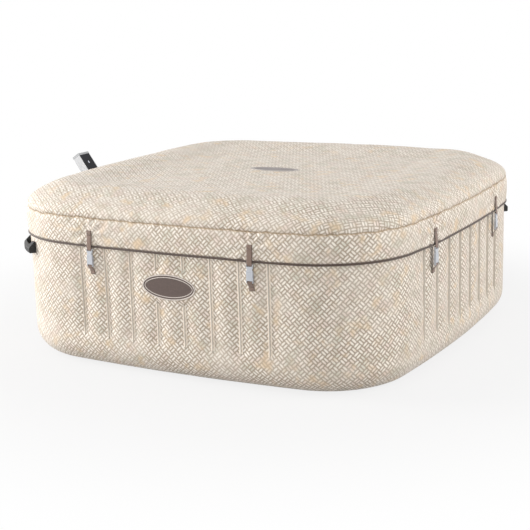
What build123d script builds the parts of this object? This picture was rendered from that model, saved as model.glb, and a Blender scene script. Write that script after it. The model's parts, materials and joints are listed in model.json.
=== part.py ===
"""A square inflatable hot tub with a clip-down padded lid, and the pump unit that stands by its wall.

Millimetres. The origin is the middle of the tub's base, +Z is up, the badge is on the -Y wall and
the pump unit stands outside the -X wall.
"""

import os
from math import asin, cos, degrees, radians, sin, sqrt

from build123d import *

os.makedirs("parts", exist_ok=True)

# ---- The tub's plan: four bowed sides and four round corners -------------------------------------
half_side = 1000.0  # centre to the middle of a side
side_turn = 4.9  # degrees that a side bends through, from its middle to its end
corner_radius = 415.0

# ---- The air chamber's section -------------------------------------------------------------------
wall_height = 690.0
chamber = 240.0  # outer wall to inner wall
foot_round = 120.0
top_round = 110.0
rim_round = 60.0
skin = 2.0  # laminated sheet
weld_gap = 0.3  # left between sheets that are welded edge to edge, and under what is stuck on
seam_pitch = 137.0
seams_per_side = 8
web_thickness = 1.0
channel_strip = 45.0  # radius of the air-jet channel in the basin's corner

# ---- The lid -------------------------------------------------------------------------------------
lid_gap = 5.0  # skirt to wall
cloth = 2.5
seam_rise = 12.0  # wall top to the seam where the skirt meets the lid's top
skirt_depth = 120.5
lid_rise = 100.0  # wall top to lid top
lid_round = 80.0
piping_radius = 5.0
pad_skin = 1.2
pad_foot_round = 8.0
lining = 1.5
pad_valve_place = 500.0

# ---- The straps and side-release buckles ---------------------------------------------------------
strap_offset = 407.0  # from the middle of a side
webbing_width = 25.0
webbing = 1.5
stitched_end = 20.0
mouth_drop = 50.5  # skirt's foot to where clip and receiver meet
upper_strap = 117.0  # from there up to the strap's stitched end
lower_strap = 84.0
buckle_out = 15.5  # wall to the buckle's middle plane
buckle_cheek = 2.5  # buckle's edge to its strap slot
buckle_depth = 11.0
receiver_height = 46.0
clip_height = 34.0
clip_depth = 8.0
buckle_wall = 1.8
socket_depth = 30.0
bar = 5.0  # height of the bar that a strap goes round
bar_depth = 4.0
slot = 4.5
prong_width = 4.5
prong_length = 27.0
guide_width = 5.0
slip = 0.5  # clip in receiver
strap_play = 0.3  # strap round its bar
loop_tail = 11.0  # strap behind its bar

# ---- Badges and carry handles --------------------------------------------------------------------
badge_length = 270.0
badge_height = 115.0
badge_thickness = 3.0
badge_drop = 155.5  # skirt's foot to the front badge's middle
handle_drop = 59.5  # skirt's foot to a handle's middle
handle_height = 51.0
handle_out = 34.0
handle_turn = 24.0  # degrees of the corner that a handle spans
finger_turn = 16.0
finger_gap = 21.0

# ---- The pump unit -------------------------------------------------------------------------------
pump_gap = 60.0  # tub wall to pump
pump_depth = 310.0
pump_width = 450.0
pump_corner = 50.0
pump_drop = 130.0  # wall top to pump top
pump_cap_height = 40.0
pump_wall = 3.5
tray = 6.0
foot_radius = 16.0
foot_height = 8.0
fit_gap = 0.3  # between pieces that are held together
vent_length = 150.0
vent_height = 90.0
vent_level = 150.0
vent_slots = 9

# ---- Water and air connections -------------------------------------------------------------------
water_level = 220.0
air_drop = 100.0  # pump unit's upper seam to the air port
water_tube = 28.0  # outer radius
air_tube = 21.0
tube_wall = 4.0
flange_out = 12.0  # how far a flange stands out round its tube
flange = 6.0
spigot = 32.0  # how far a wall fitting stands out of the wall
nut_length = 36.0
nut_wall = 7.0
nut_ribs = 16
thread_play = 0.06
filter_radius = 66.0
filter_length = 92.0
cartridge_radius = 53.0
cartridge_bore = 25.0
cartridge_length = 80.0
pleats = 36
bowl_wall = 3.0
screen_radius = 48.0
valve_offset = 274.0
valve_level = 320.0
drain_level = 160.0
drain_tube = 18.0
valve_radius = 24.0
cap_height = 12.0

# ---- The control head ----------------------------------------------------------------------------
head_lean = 35.0  # degrees back from upright
head_width = 90.0
head_depth = 46.0
head_length = 197.0
head_cap = 13.0
head_wall = 4.0
head_front = 45.0  # tub wall to the foot of the head's face
head_drop = 35.0  # wall top to the foot of the head's face
neck_front = 72.0  # tub wall to the neck's front
neck_depth = 60.0
neck_bend = 17.0  # from the top of the neck's front to the head's foot
neck_plate = 6.0
neck_plate_depth = 82.0
neck_plate_width = 122.0
glass = 2.0
glass_border = 3.0
glass_length = 184.0
screw_radius = 2.0
screw_head = 4.0
screw_length = 16.0
screw_inset = 9.0

# ---- Machinery inside the pump unit --------------------------------------------------------------
machine_x = 170.0  # pump unit's front to the machinery's line
motor_radius = 45.0
motor_length = 104.0
volute_radius = 55.0
volute_length = 50.0
volute_wall = 4.0
machine_level = 92.0
impeller_radius = 44.0
shaft_radius = 5.0
shaft_play = 0.05
bore_depth = 22.0
eye_radius = 18.0
pipe_radius = 18.0
pipe_wall = 2.5
pipe_bend = 30.0
heater_radius = 32.0
bridge_drop = 90.0  # pump unit's upper seam to the pipe over the heater
blower_radius = 55.0
blower_length = 52.0
blower_motor_radius = 30.0
blower_motor_length = 44.0
gland_radius = 11.0
gland_level = 60.0

BOTTOM = (Align.CENTER, Align.CENTER, Align.MIN)
TOP = (Align.CENTER, Align.CENTER, Align.MAX)
HANG = (Align.CENTER, Align.MAX, Align.CENTER)
STAND = (Align.CENTER, Align.MIN, Align.CENTER)

# Levels follow from the wall's height, so that the lid, the straps and the pump unit stay with it.
edge_seam = wall_height + seam_rise
skirt_bottom = edge_seam - skirt_depth
lid_top = wall_height + lid_rise
mouth_height = skirt_bottom - mouth_drop
badge_level = skirt_bottom - badge_drop
handle_level = skirt_bottom - handle_drop
pump_height = wall_height - pump_drop
cap_level = pump_height - pump_cap_height
air_level = cap_level - air_drop
head_level = wall_height - head_drop

# The sides' radius follows from the half side, the corner's radius and the turn of a side.
side_lean = sin(radians(side_turn)) - cos(radians(side_turn))
side_radius = (half_side + corner_radius * side_lean) / (1 + side_lean)
corner_centre = (side_radius - corner_radius) * sin(radians(side_turn))
seam_offsets = [(i - (seams_per_side - 1) / 2) * seam_pitch for i in range(seams_per_side)]


def save(piece, name):
    """Label a finished piece and write it."""
    piece.part.label = name
    export_step(piece.part, f"parts/{name}.step")


def plan_wire(inset):
    """The tub's outline moved in by inset, starting at the middle of the front side."""
    arcs = []
    for quarter in range(4):
        turn = 90 * quarter
        side_middle = Vector(0, side_radius - half_side).rotate(Axis.Z, turn)
        corner_middle = Vector(corner_centre, -corner_centre).rotate(Axis.Z, turn)
        corner_turn = 90 - 2 * side_turn
        arcs += [
            CenterArc(side_middle, side_radius - inset, turn - 90, side_turn),
            CenterArc(corner_middle, corner_radius - inset, turn - 90 + side_turn, corner_turn),
            CenterArc(
                side_middle.rotate(Axis.Z, 90), side_radius - inset, turn - side_turn, side_turn
            ),
        ]
    return Wire(arcs)


def plan_ring(outer_inset, inner_inset):
    """A band of the plan, between two insets, in the current sketch."""
    make_face(plan_wire(outer_inset).edges())
    make_face(plan_wire(inner_inset).edges(), mode=Mode.SUBTRACT)


def section_outline(inset):
    """The chamber's section moved in by inset: X is the distance in from the wall, Y is up."""
    low, high = (Align.MIN, Align.MIN), wall_height - 2 * inset
    with BuildSketch() as outline:
        with Locations((inset, inset)):
            Rectangle(chamber - 2 * inset, high, align=low)
        fillet(outline.vertices().group_by(Axis.Y)[0].sort_by(Axis.X)[0], foot_round - inset)
        fillet(outline.vertices().group_by(Axis.Y)[-1].sort_by(Axis.X)[0], top_round - inset)
        fillet(outline.vertices().group_by(Axis.Y)[-1].sort_by(Axis.X)[-1], rim_round - inset)
    return outline.sketch


def chamber_skin():
    """The whole sheet round the chamber in section, in the current sketch."""
    add(section_outline(0))
    add(section_outline(skin), mode=Mode.SUBTRACT)


def wall_place(side, along, height, out):
    """A place on a wall, side 0 to 3 from the front: X runs along the wall, Y is up, Z is out."""
    turn = degrees(asin(along / side_radius)) + 90 * side
    middle = Vector(0, side_radius - half_side, height).rotate(Axis.Z, 90 * side)
    outward = Vector(0, -1, 0).rotate(Axis.Z, turn)
    return Plane(
        origin=middle + outward * (side_radius + out),
        x_dir=Vector(1, 0, 0).rotate(Axis.Z, turn),
        z_dir=outward,
    )


def left_place(y, z, out):
    """A place square to X beside the left wall: X runs towards -Y, Y is up, Z is out."""
    return Plane(origin=(-half_side - out, y, z), x_dir=(0, -1, 0), z_dir=(-1, 0, 0))


def bow_at(offset, inset):
    """How far a side has come in, at an offset from its middle."""
    radius = side_radius - inset
    return radius - sqrt(radius**2 - offset**2)


around = plan_wire(0)
section = Plane(origin=(0, -half_side, 0), x_dir=(0, 1, 0), z_dir=(1, 0, 0))
water_offset = seam_pitch  # the middle of a channel
water_places = [(y, water_level) for y in (-water_offset, water_offset)]
duct_radius = channel_strip / 4
duct_level = skin + weld_gap + channel_strip / 2
inner_seat = bow_at(water_offset + water_tube + flange_out, chamber) + weld_gap

# ---- Outer wall: rounded under at the foot and over at the top ------------------------------------
with BuildPart() as outer_wall:
    with BuildSketch(section):
        chamber_skin()
        with BuildSketch(mode=Mode.INTERSECT) as kept:
            Rectangle(2 * foot_round, wall_height, align=(Align.CENTER, Align.CENTER))
            with Locations((0, wall_height)):
                Rectangle(2 * top_round, wall_height, align=(Align.CENTER, Align.CENTER))
    sweep(path=around)
    with Locations(*[left_place(y, z, 0).location for y, z in water_places]):
        Cylinder(water_tube + weld_gap, chamber / 2, mode=Mode.SUBTRACT)
    with Locations(left_place(0, air_level, 0).location):
        Cylinder(air_tube + weld_gap, chamber / 2, mode=Mode.SUBTRACT)
    with Locations(left_place(valve_offset, valve_level, 0).location):
        Cylinder(valve_radius / 2 + weld_gap, chamber / 2, mode=Mode.SUBTRACT)
    with Locations(left_place(-valve_offset, drain_level, 0).location):
        Cylinder(drain_tube + weld_gap, chamber / 2, mode=Mode.SUBTRACT)
save(outer_wall, "outer_wall")

# ---- Top deck: the flat rim with its rounded inner edge -------------------------------------------
with BuildPart() as top_deck:
    with BuildSketch(section):
        chamber_skin()
        with BuildSketch(mode=Mode.INTERSECT):
            with Locations((top_round + weld_gap, wall_height - rim_round)):
                Rectangle(chamber, chamber, align=(Align.MIN, Align.MIN))
    sweep(path=around)
save(top_deck, "top_deck")

# ---- Inner wall: the basin's side -----------------------------------------------------------------
with BuildPart() as inner_wall:
    with BuildSketch(Plane.XY.offset(skin + weld_gap)):
        plan_ring(chamber - skin, chamber)
    extrude(amount=wall_height - rim_round - skin - 2 * weld_gap)
    with Locations(*[left_place(y, z, -chamber).location for y, z in water_places]):
        Cylinder(water_tube + weld_gap, chamber / 2, mode=Mode.SUBTRACT)
    with Locations(left_place(0, duct_level, -chamber).location):
        Cylinder(duct_radius + weld_gap, chamber / 2, mode=Mode.SUBTRACT)
    with Locations(left_place(-valve_offset, drain_level, -chamber).location):
        Cylinder(drain_tube + weld_gap, chamber / 2, mode=Mode.SUBTRACT)
save(inner_wall, "inner_wall")

# ---- Base sheet: one sheet under the chamber and the basin ----------------------------------------
with BuildPart() as base_sheet:
    with BuildSketch():
        make_face(plan_wire(foot_round + weld_gap).edges())
    extrude(amount=skin)
save(base_sheet, "base_sheet")

# ---- Webs: the ties that hold the two walls together at each welded seam --------------------------
with BuildPart() as wall_webs:
    with BuildSketch(Plane.XY.offset(foot_round)):
        for side in range(4):
            for offset_along in seam_offsets:
                centre = Vector(offset_along, chamber / 2 - half_side).rotate(Axis.Z, 90 * side)
                with Locations(Location((centre.X, centre.Y, 0), (0, 0, 90 * side))):
                    Rectangle(web_thickness, 2 * chamber)
        with BuildSketch(mode=Mode.INTERSECT):
            plan_ring(skin + weld_gap, chamber - skin - weld_gap)
    extrude(amount=wall_height - foot_round - top_round)
save(wall_webs, "wall_webs")

# ---- Air-jet channel: a hollow quarter-round strip welded along the foot of the basin -------------
with BuildPart() as air_channel:
    with BuildSketch(section):
        for radius, mode in ((channel_strip, Mode.ADD), (channel_strip - skin, Mode.SUBTRACT)):
            with Locations((chamber + weld_gap, skin + weld_gap)):
                Circle(radius, mode=mode)
        with Locations((chamber + weld_gap, skin + weld_gap)):
            Rectangle(
                channel_strip, channel_strip, align=(Align.MIN, Align.MIN), mode=Mode.INTERSECT
            )
    sweep(path=around)
save(air_channel, "air_channel")

# ---- Badges ---------------------------------------------------------------------------------------
with BuildPart() as front_badge:
    with BuildSketch(wall_place(0, 0, badge_level, weld_gap)):
        Ellipse(badge_length / 2, badge_height / 2)
    extrude(amount=badge_thickness)
    fillet(front_badge.faces().sort_by(Axis.Y)[0].edges(), badge_thickness / 3)
save(front_badge, "front_badge")

with BuildPart() as lid_badge:
    with BuildSketch(Plane.XY.offset(lid_top + weld_gap)):
        Ellipse(badge_length / 2, badge_height / 2)
    extrude(amount=badge_thickness)
    fillet(lid_badge.faces().sort_by(Axis.Z)[-1].edges(), badge_thickness / 3)
save(lid_badge, "lid_badge")

# ---- Carry handles: moulded grips on two opposite corners -----------------------------------------
def radial_plane(turn):
    """An upright plane through the Z axis: X runs outwards, Y is up."""
    a = radians(turn)
    return Plane(origin=(0, 0, 0), x_dir=(cos(a), sin(a), 0), z_dir=(sin(a), -cos(a), 0))


grip_root = corner_radius + weld_gap
grip_face = corner_radius + handle_out
with BuildPart() as handle_shape:
    with BuildSketch(radial_plane(-handle_turn / 2)) as grip_profile:
        with BuildLine():
            Polyline(
                (grip_root, -handle_height / 2),
                (grip_face, -handle_height / 2),
                (grip_face, 0),
                (grip_root + handle_out / 4, handle_height / 2),
                (grip_root, handle_height / 2),
                close=True,
            )
        make_face()
        fillet(grip_profile.vertices().group_by(Axis.X)[-1], handle_height / 8)
    revolve(axis=Axis.Z, revolution_arc=handle_turn)
    with BuildSketch(radial_plane(-finger_turn / 2)):
        with Locations((grip_root - handle_out, 0)):
            Rectangle(handle_out + finger_gap, 2 * handle_height, align=(Align.MIN, Align.CENTER))
    revolve(axis=Axis.Z, revolution_arc=finger_turn, mode=Mode.SUBTRACT)

with BuildPart() as carry_handles:
    for turn in (45, 225):
        middle = Vector(corner_centre * sqrt(2), 0, handle_level).rotate(Axis.Z, turn)
        with Locations(Location(middle, (0, 0, turn))):
            add(handle_shape.part)
save(carry_handles, "carry_handles")


# ---- Lid: the padded top, the skirt that hangs over the wall, and what is inside -------------------
def lid_block(inset, low, high, top_round_radius):
    """A solid of the lid's plan with a rounded top edge."""
    with BuildPart() as block:
        with BuildSketch(Plane.XY.offset(low)):
            make_face(plan_wire(inset).edges())
        extrude(amount=high - low)
        fillet(block.faces().sort_by(Axis.Z)[-1].edges(), top_round_radius)
    return block.part


skirt_face = lid_gap + cloth  # how far the skirt stands out of the wall
lid_outside = lid_block(-skirt_face, edge_seam + weld_gap, lid_top, lid_round)
lid_inside = lid_block(-lid_gap, edge_seam - cloth, lid_top - cloth, lid_round - cloth)
with BuildPart() as lid_cover:
    add(lid_outside)
    add(lid_inside, mode=Mode.SUBTRACT)
save(lid_cover, "lid_cover")

with BuildPart() as lid_skirt:
    with BuildSketch(Plane.XY.offset(skirt_bottom)):
        plan_ring(-skirt_face, -lid_gap)
    extrude(amount=edge_seam - skirt_bottom)
save(lid_skirt, "lid_skirt")

with BuildPart() as skirt_piping:
    with BuildSketch(section):
        with Locations((-lid_gap - cloth / 2, skirt_bottom - piping_radius - weld_gap)):
            Circle(piping_radius)
    sweep(path=around)
save(skirt_piping, "skirt_piping")

# The lining lies on the deck, and the air pad lies on the lining, inside the cover.
lining_foot = wall_height + weld_gap
with BuildPart() as lid_lining:
    with BuildSketch(Plane.XY.offset(lining_foot)):
        make_face(plan_wire(weld_gap - lid_gap).edges())
        with Locations((pad_valve_place, 0)):
            Circle(valve_radius / 2 + weld_gap, mode=Mode.SUBTRACT)
    extrude(amount=lining)
save(lid_lining, "lid_lining")

pad_foot = lining_foot + lining + weld_gap
pad_top = lid_top - cloth - weld_gap
pad_inset = weld_gap - lid_gap
pad_round = lid_round - cloth
pad_outside = lid_block(pad_inset, pad_foot, pad_top, pad_round)
pad_hollow = lid_block(
    pad_inset + pad_skin, pad_foot + pad_skin, pad_top - pad_skin, pad_round - pad_skin
)
with BuildPart() as lid_air_pad:
    add(pad_outside)
    add(pad_hollow, mode=Mode.SUBTRACT)
    with Locations((pad_valve_place, 0, pad_foot - pad_skin)):
        Cylinder(valve_radius / 2 + weld_gap, 3 * pad_skin, align=BOTTOM, mode=Mode.SUBTRACT)
save(lid_air_pad, "lid_air_pad")

with BuildPart() as pad_valve:
    with Locations((pad_valve_place, 0, lining_foot - weld_gap)):
        Cylinder(valve_radius, 2 * pad_skin, align=TOP)
        Cylinder(valve_radius / 2, valve_radius, align=BOTTOM)
        Cylinder(valve_radius / 4, 3 * valve_radius, mode=Mode.SUBTRACT)
save(pad_valve, "pad_valve")

# ---- Side-release buckles and their straps --------------------------------------------------------
# Each is drawn once about the middle of the receiver's mouth: X along the wall, Y up, Z out.
buckle_places = [
    wall_place(side, along, mouth_height, buckle_out).location
    for side in range(4)
    for along in (-strap_offset, strap_offset)
]
strap_window = webbing_width + 2 * slip
buckle_width = strap_window + 2 * buckle_cheek
socket_width = buckle_width - 2 * buckle_wall
socket_gap = buckle_depth - 2 * buckle_wall
strap_face = bar_depth / 2 + strap_play + webbing
bar_cut = (buckle_depth - bar_depth) / 2

with BuildPart() as receiver_shape:
    Box(buckle_width, receiver_height, buckle_depth, align=HANG)
    fillet(receiver_shape.edges().filter_by(Axis.Y), buckle_wall)
    Box(socket_width, socket_depth, socket_gap, align=HANG, mode=Mode.SUBTRACT)
    with Locations((0, -socket_depth * 0.6, 0)):
        Box(2 * buckle_width, socket_depth * 0.4, socket_gap - 2 * slip, mode=Mode.SUBTRACT)
    with Locations((0, bar + slot / 2 - receiver_height, 0)):
        Box(strap_window, slot, 2 * buckle_depth, mode=Mode.SUBTRACT)
    for face in (-1, 1):
        with Locations((0, -receiver_height, face * (buckle_depth - bar_cut) / 2)):
            Box(strap_window, 2 * (bar + slot / 2), bar_cut, mode=Mode.SUBTRACT)

clip_cut = (clip_depth - bar_depth) / 2
prong_middle = (socket_width - prong_width) / 2 - slip
prong_depth = socket_gap - 2 * slip
with BuildPart() as clip_shape:
    with Locations((0, weld_gap, 0)):
        Box(buckle_width, clip_height - weld_gap, clip_depth, align=STAND)
    fillet(clip_shape.edges().filter_by(Axis.Y), buckle_wall)
    with Locations((0, clip_height - bar - slot / 2, 0)):
        Box(strap_window, slot, 2 * buckle_depth, mode=Mode.SUBTRACT)
    for face in (-1, 1):
        with Locations((0, clip_height, face * (clip_depth - clip_cut) / 2)):
            Box(strap_window, 2 * (bar + slot / 2), clip_cut, mode=Mode.SUBTRACT)
    for hand in (-1, 1):  # the waist that gives the clip its hourglass shape
        with Locations((hand * buckle_width / 2, clip_height / 3, 0)):
            Cylinder(prong_width, 2 * clip_depth, mode=Mode.SUBTRACT)
    for across, width, length in (
        (-prong_middle, prong_width, prong_length),
        (0, guide_width, socket_depth * 0.8),
        (prong_middle, prong_width, prong_length),
    ):
        with Locations((across, 1, 0)):
            Box(width, length + 1, prong_depth, align=HANG)

with BuildPart() as upper_strap_shape:
    loop_foot = clip_height - bar - strap_play  # the strap comes back under the clip's bar
    with BuildSketch(Plane.YZ):
        with Locations((loop_foot - webbing, 0)):
            Rectangle(webbing, 2 * strap_face, align=(Align.MIN, Align.CENTER))
        with Locations((loop_foot - webbing, strap_face)):
            Rectangle(upper_strap - loop_foot, webbing, align=(Align.MIN, Align.MAX))
        with Locations((loop_foot - webbing, -strap_face)):
            Rectangle(loop_tail, webbing, align=(Align.MIN, Align.MIN))
        with Locations((upper_strap, strap_face)):
            Rectangle(
                stitched_end,
                buckle_out + strap_face - skirt_face - weld_gap,
                align=(Align.MAX, Align.MAX),
            )
    extrude(amount=webbing_width / 2, both=True)

with BuildPart() as lower_strap_shape:
    loop_head = bar + strap_play - receiver_height  # the strap comes back over the receiver's bar
    with BuildSketch(Plane.YZ):
        with Locations((loop_head + webbing, 0)):
            Rectangle(webbing, 2 * strap_face, align=(Align.MAX, Align.CENTER))
        with Locations((loop_head + webbing, strap_face)):
            Rectangle(loop_head + lower_strap, webbing, align=(Align.MAX, Align.MAX))
        with Locations((loop_head + webbing, -strap_face)):
            Rectangle(loop_tail, webbing, align=(Align.MAX, Align.MIN))
        with Locations((-lower_strap, strap_face)):
            Rectangle(
                stitched_end, buckle_out + strap_face - weld_gap, align=(Align.MIN, Align.MAX)
            )
    extrude(amount=webbing_width / 2, both=True)

for shape, name in (
    (receiver_shape, "buckle_receivers"),
    (clip_shape, "buckle_clips"),
    (upper_strap_shape, "upper_straps"),
    (lower_strap_shape, "lower_straps"),
):
    with BuildPart() as buckle_pieces:
        with Locations(*buckle_places):
            add(shape.part)
    save(buckle_pieces, name)


# ---- Wall fittings: flanged tubes through the air chamber -----------------------------------------
def at(places, out):
    """Locations square to X beside the left wall, from (y, z) pairs."""
    return Locations(*[left_place(y, z, out).location for y, z in places])


with BuildPart() as water_fittings:
    with at(water_places, -chamber - inner_seat - flange):
        Cylinder(water_tube, chamber + inner_seat + flange + spigot, align=BOTTOM)
        Cylinder(water_tube + flange_out, flange, align=BOTTOM)
    with at(water_places, weld_gap):
        Cylinder(water_tube + flange_out, flange, align=BOTTOM)
    with at(water_places, -chamber / 2):
        Cylinder(water_tube - tube_wall, 2 * chamber, mode=Mode.SUBTRACT)
save(water_fittings, "water_fittings")

# The air fitting turns down inside the chamber and ends in the air-jet channel.
air_place = [(0, air_level)]
duct_drop = half_side - chamber / 2
with BuildPart() as air_fitting:
    with at(air_place, -chamber / 2 - air_tube):
        Cylinder(air_tube, chamber / 2 + air_tube + spigot, align=BOTTOM)
    with at(air_place, weld_gap):
        Cylinder(air_tube + flange_out, flange, align=BOTTOM)
    with Locations((-duct_drop, 0, duct_level - duct_radius)):
        Cylinder(duct_radius, air_level - duct_level, align=BOTTOM)
    with at([(0, duct_level)], -chamber - 2 * skin):
        Cylinder(duct_radius, chamber / 2 + 2 * skin, align=BOTTOM)
    with at(air_place, tube_wall - chamber / 2 - air_tube):
        Cylinder(air_tube - tube_wall, chamber + spigot, align=BOTTOM, mode=Mode.SUBTRACT)
    with Locations((-duct_drop, 0, duct_level - duct_radius + skin)):
        Cylinder(duct_radius - skin, air_level - duct_level, align=BOTTOM, mode=Mode.SUBTRACT)
    with at([(0, duct_level)], -chamber - 3 * skin):
        Cylinder(duct_radius - skin, chamber / 2 + 3 * skin, align=BOTTOM, mode=Mode.SUBTRACT)
save(air_fitting, "air_fitting")


# ---- Coupling nuts: each turns on a wall fitting and draws the pump's port onto it ----------------
def coupling_nut(y, z, tube):
    """A ribbed ring nut over the joint between a wall fitting and the pump's port."""
    start = spigot + weld_gap / 2 - nut_length / 2
    with BuildPart() as nut:
        with at([(y, z)], start):
            Cylinder(tube + nut_wall, nut_length, align=BOTTOM)
        fillet(nut.edges().filter_by(GeomType.CIRCLE), nut_wall / 4)
        with Locations(left_place(y, z, start + nut_length / 2).location):
            with PolarLocations(tube + nut_wall, nut_ribs):
                Box(nut_wall / 2, nut_wall / 2, nut_length - nut_wall)
        with at([(y, z)], start - 1):
            Cylinder(tube + thread_play, nut_length + 2, align=BOTTOM, mode=Mode.SUBTRACT)
    return nut


for (y, z), tube, name in (
    (water_places[0], water_tube, "inlet_nut"),
    (water_places[1], water_tube, "outlet_nut"),
    (air_place[0], air_tube, "air_nut"),
):
    save(coupling_nut(y, z, tube), name)

# ---- Filter on the inlet inside the basin, and the screen over the outlet -------------------------
bowl_back = chamber + inner_seat + flange + weld_gap  # how far in from the wall the bowl starts
inlet, outlet = water_places[:1], water_places[1:]
with BuildPart() as filter_bowl:
    with at(inlet, -bowl_back - filter_length):
        Cylinder(filter_radius, filter_length, align=BOTTOM)
        Cylinder(
            filter_radius - bowl_wall, filter_length - bowl_wall, align=BOTTOM, mode=Mode.SUBTRACT
        )
    with at(inlet, -bowl_back - filter_length / 2):
        Cylinder(water_tube - tube_wall, filter_length, align=BOTTOM, mode=Mode.SUBTRACT)
save(filter_bowl, "filter_bowl")

cartridge_foot = bowl_back + bowl_wall + weld_gap
with BuildPart() as filter_cartridge:
    with at(inlet, -cartridge_foot - cartridge_length):
        Cylinder(cartridge_radius - bowl_wall, cartridge_length, align=BOTTOM)
    with Locations(left_place(*inlet[0], -cartridge_foot - cartridge_length / 2).location):
        with PolarLocations(cartridge_radius - bowl_wall, pleats):
            Box(2 * bowl_wall, bowl_wall, cartridge_length - 4 * bowl_wall)
    for end in (0, cartridge_length - bowl_wall):
        with at(inlet, end - cartridge_foot - cartridge_length):
            Cylinder(cartridge_radius + 1, bowl_wall, align=BOTTOM)
    with at(inlet, -cartridge_foot - 2 * cartridge_length):
        Cylinder(cartridge_bore, 3 * cartridge_length, align=BOTTOM, mode=Mode.SUBTRACT)
save(filter_cartridge, "filter_cartridge")

cap_foot = bowl_back + filter_length + weld_gap
with BuildPart() as filter_cap:
    with at(inlet, -cap_foot - bowl_wall):
        Cylinder(filter_radius, bowl_wall, align=BOTTOM)
        Cylinder(filter_radius - bowl_wall - thread_play, 3 * bowl_wall, align=BOTTOM)
    with at(inlet, -cap_foot):
        Cylinder(filter_radius - 2 * bowl_wall, 4 * bowl_wall, align=BOTTOM, mode=Mode.SUBTRACT)
    with Locations(left_place(*inlet[0], -cap_foot).location):
        with PolarLocations(filter_radius / 2, 12):
            Box(filter_radius / 2, 2 * bowl_wall, 4 * bowl_wall, mode=Mode.SUBTRACT)
        with Locations((0, 0, -bowl_wall)):
            Box(filter_radius, 3 * bowl_wall, 4 * bowl_wall, align=TOP)
save(filter_cap, "filter_cap")

with BuildPart() as outlet_screen:
    with at(outlet, -bowl_back - flange):
        Cylinder(screen_radius, flange, align=BOTTOM)
    with Locations(left_place(*outlet[0], -bowl_back).location):
        with GridLocations(2 * flange, 0, 6, 1):
            Box(flange, screen_radius, 4 * flange, mode=Mode.SUBTRACT)
    fillet(outlet_screen.faces().sort_by(Axis.X)[-1].outer_wire().edges(), bowl_wall)
save(outlet_screen, "outlet_screen")


# ---- Inflation valve and drain, each with its screw cap -------------------------------------------
def screw_cap(y, z, tube, out):
    """A ribbed cap that turns on a valve's neck; out is the neck's end."""
    with BuildPart() as cap:
        with at([(y, z)], out - cap_height + tube_wall):
            Cylinder(tube + nut_wall / 2, cap_height, align=BOTTOM)
        with Locations(left_place(y, z, out - cap_height / 2 + tube_wall).location):
            with PolarLocations(tube + nut_wall / 2, nut_ribs):
                Box(nut_wall / 2, nut_wall / 4, cap_height - 2)
        with at([(y, z)], out + weld_gap):
            Cylinder(tube + thread_play, 2 * cap_height, align=TOP, mode=Mode.SUBTRACT)
    return cap


valve_place, drain_place = [(valve_offset, valve_level)], [(-valve_offset, drain_level)]
valve_tube = valve_radius / 2
neck_out = flange + cap_height
with BuildPart() as inflation_valve:
    with at(valve_place, weld_gap):
        Cylinder(valve_radius, flange / 2, align=BOTTOM)
    with at(valve_place, -valve_radius):
        Cylinder(valve_tube, valve_radius + neck_out, align=BOTTOM)
    with at(valve_place, -2 * valve_radius):
        Cylinder(valve_tube - skin, 4 * valve_radius, align=BOTTOM, mode=Mode.SUBTRACT)
save(inflation_valve, "inflation_valve")
save(screw_cap(*valve_place[0], valve_tube, neck_out), "inflation_cap")

drain_seat = bow_at(valve_offset + drain_tube + flange_out, chamber) + weld_gap
with BuildPart() as drain_valve:
    with at(drain_place, weld_gap):
        Cylinder(drain_tube + flange_out, flange / 2, align=BOTTOM)
    with at(drain_place, -chamber - drain_seat - flange / 2):
        Cylinder(drain_tube, chamber + drain_seat + flange / 2 + neck_out, align=BOTTOM)
        Cylinder(drain_tube + flange_out, flange / 2, align=BOTTOM)
    with at(drain_place, -2 * chamber):
        Cylinder(drain_tube - skin, 3 * chamber, align=BOTTOM, mode=Mode.SUBTRACT)
save(drain_valve, "drain_valve")
save(screw_cap(*drain_place[0], drain_tube, neck_out), "drain_cap")

# ---- Pump unit: feet, tray, housing and top --------------------------------------------------------
pump_front = -half_side - pump_gap
pump_middle = pump_front - pump_depth / 2


def pump_plan(inset, mode=Mode.ADD):
    """The pump unit's plan moved in by inset, in the current sketch."""
    depth, width = pump_depth - 2 * inset, pump_width - 2 * inset
    with Locations((pump_middle, 0)):
        RectangleRounded(depth, width, pump_corner - inset, mode=mode)


with BuildPart() as pump_feet:
    with Locations((pump_middle, 0)):
        with GridLocations(pump_depth - 2 * pump_corner, pump_width - 2 * pump_corner, 2, 2):
            Cylinder(foot_radius, foot_height, align=BOTTOM)
    fillet(pump_feet.faces().group_by(Axis.Z)[0].edges(), foot_height / 4)
save(pump_feet, "pump_feet")

machine_line = pump_front - machine_x
motor_middle = motor_length / 2 - volute_length / 2
volute_middle = motor_middle - motor_length / 2 - fit_gap - volute_length / 2
with BuildPart() as pump_tray:
    with BuildSketch(Plane.XY.offset(foot_height)):
        pump_plan(0)
    extrude(amount=tray)
    with Locations((machine_line, motor_middle, foot_height + tray)):
        Box(1.4 * motor_radius, motor_length / 2, machine_level - foot_height - tray, align=BOTTOM)
    with Locations(Location((machine_line, motor_middle, machine_level), (90, 0, 0))):
        Cylinder(motor_radius + fit_gap, 2 * motor_length, mode=Mode.SUBTRACT)
save(pump_tray, "pump_tray")

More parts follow.
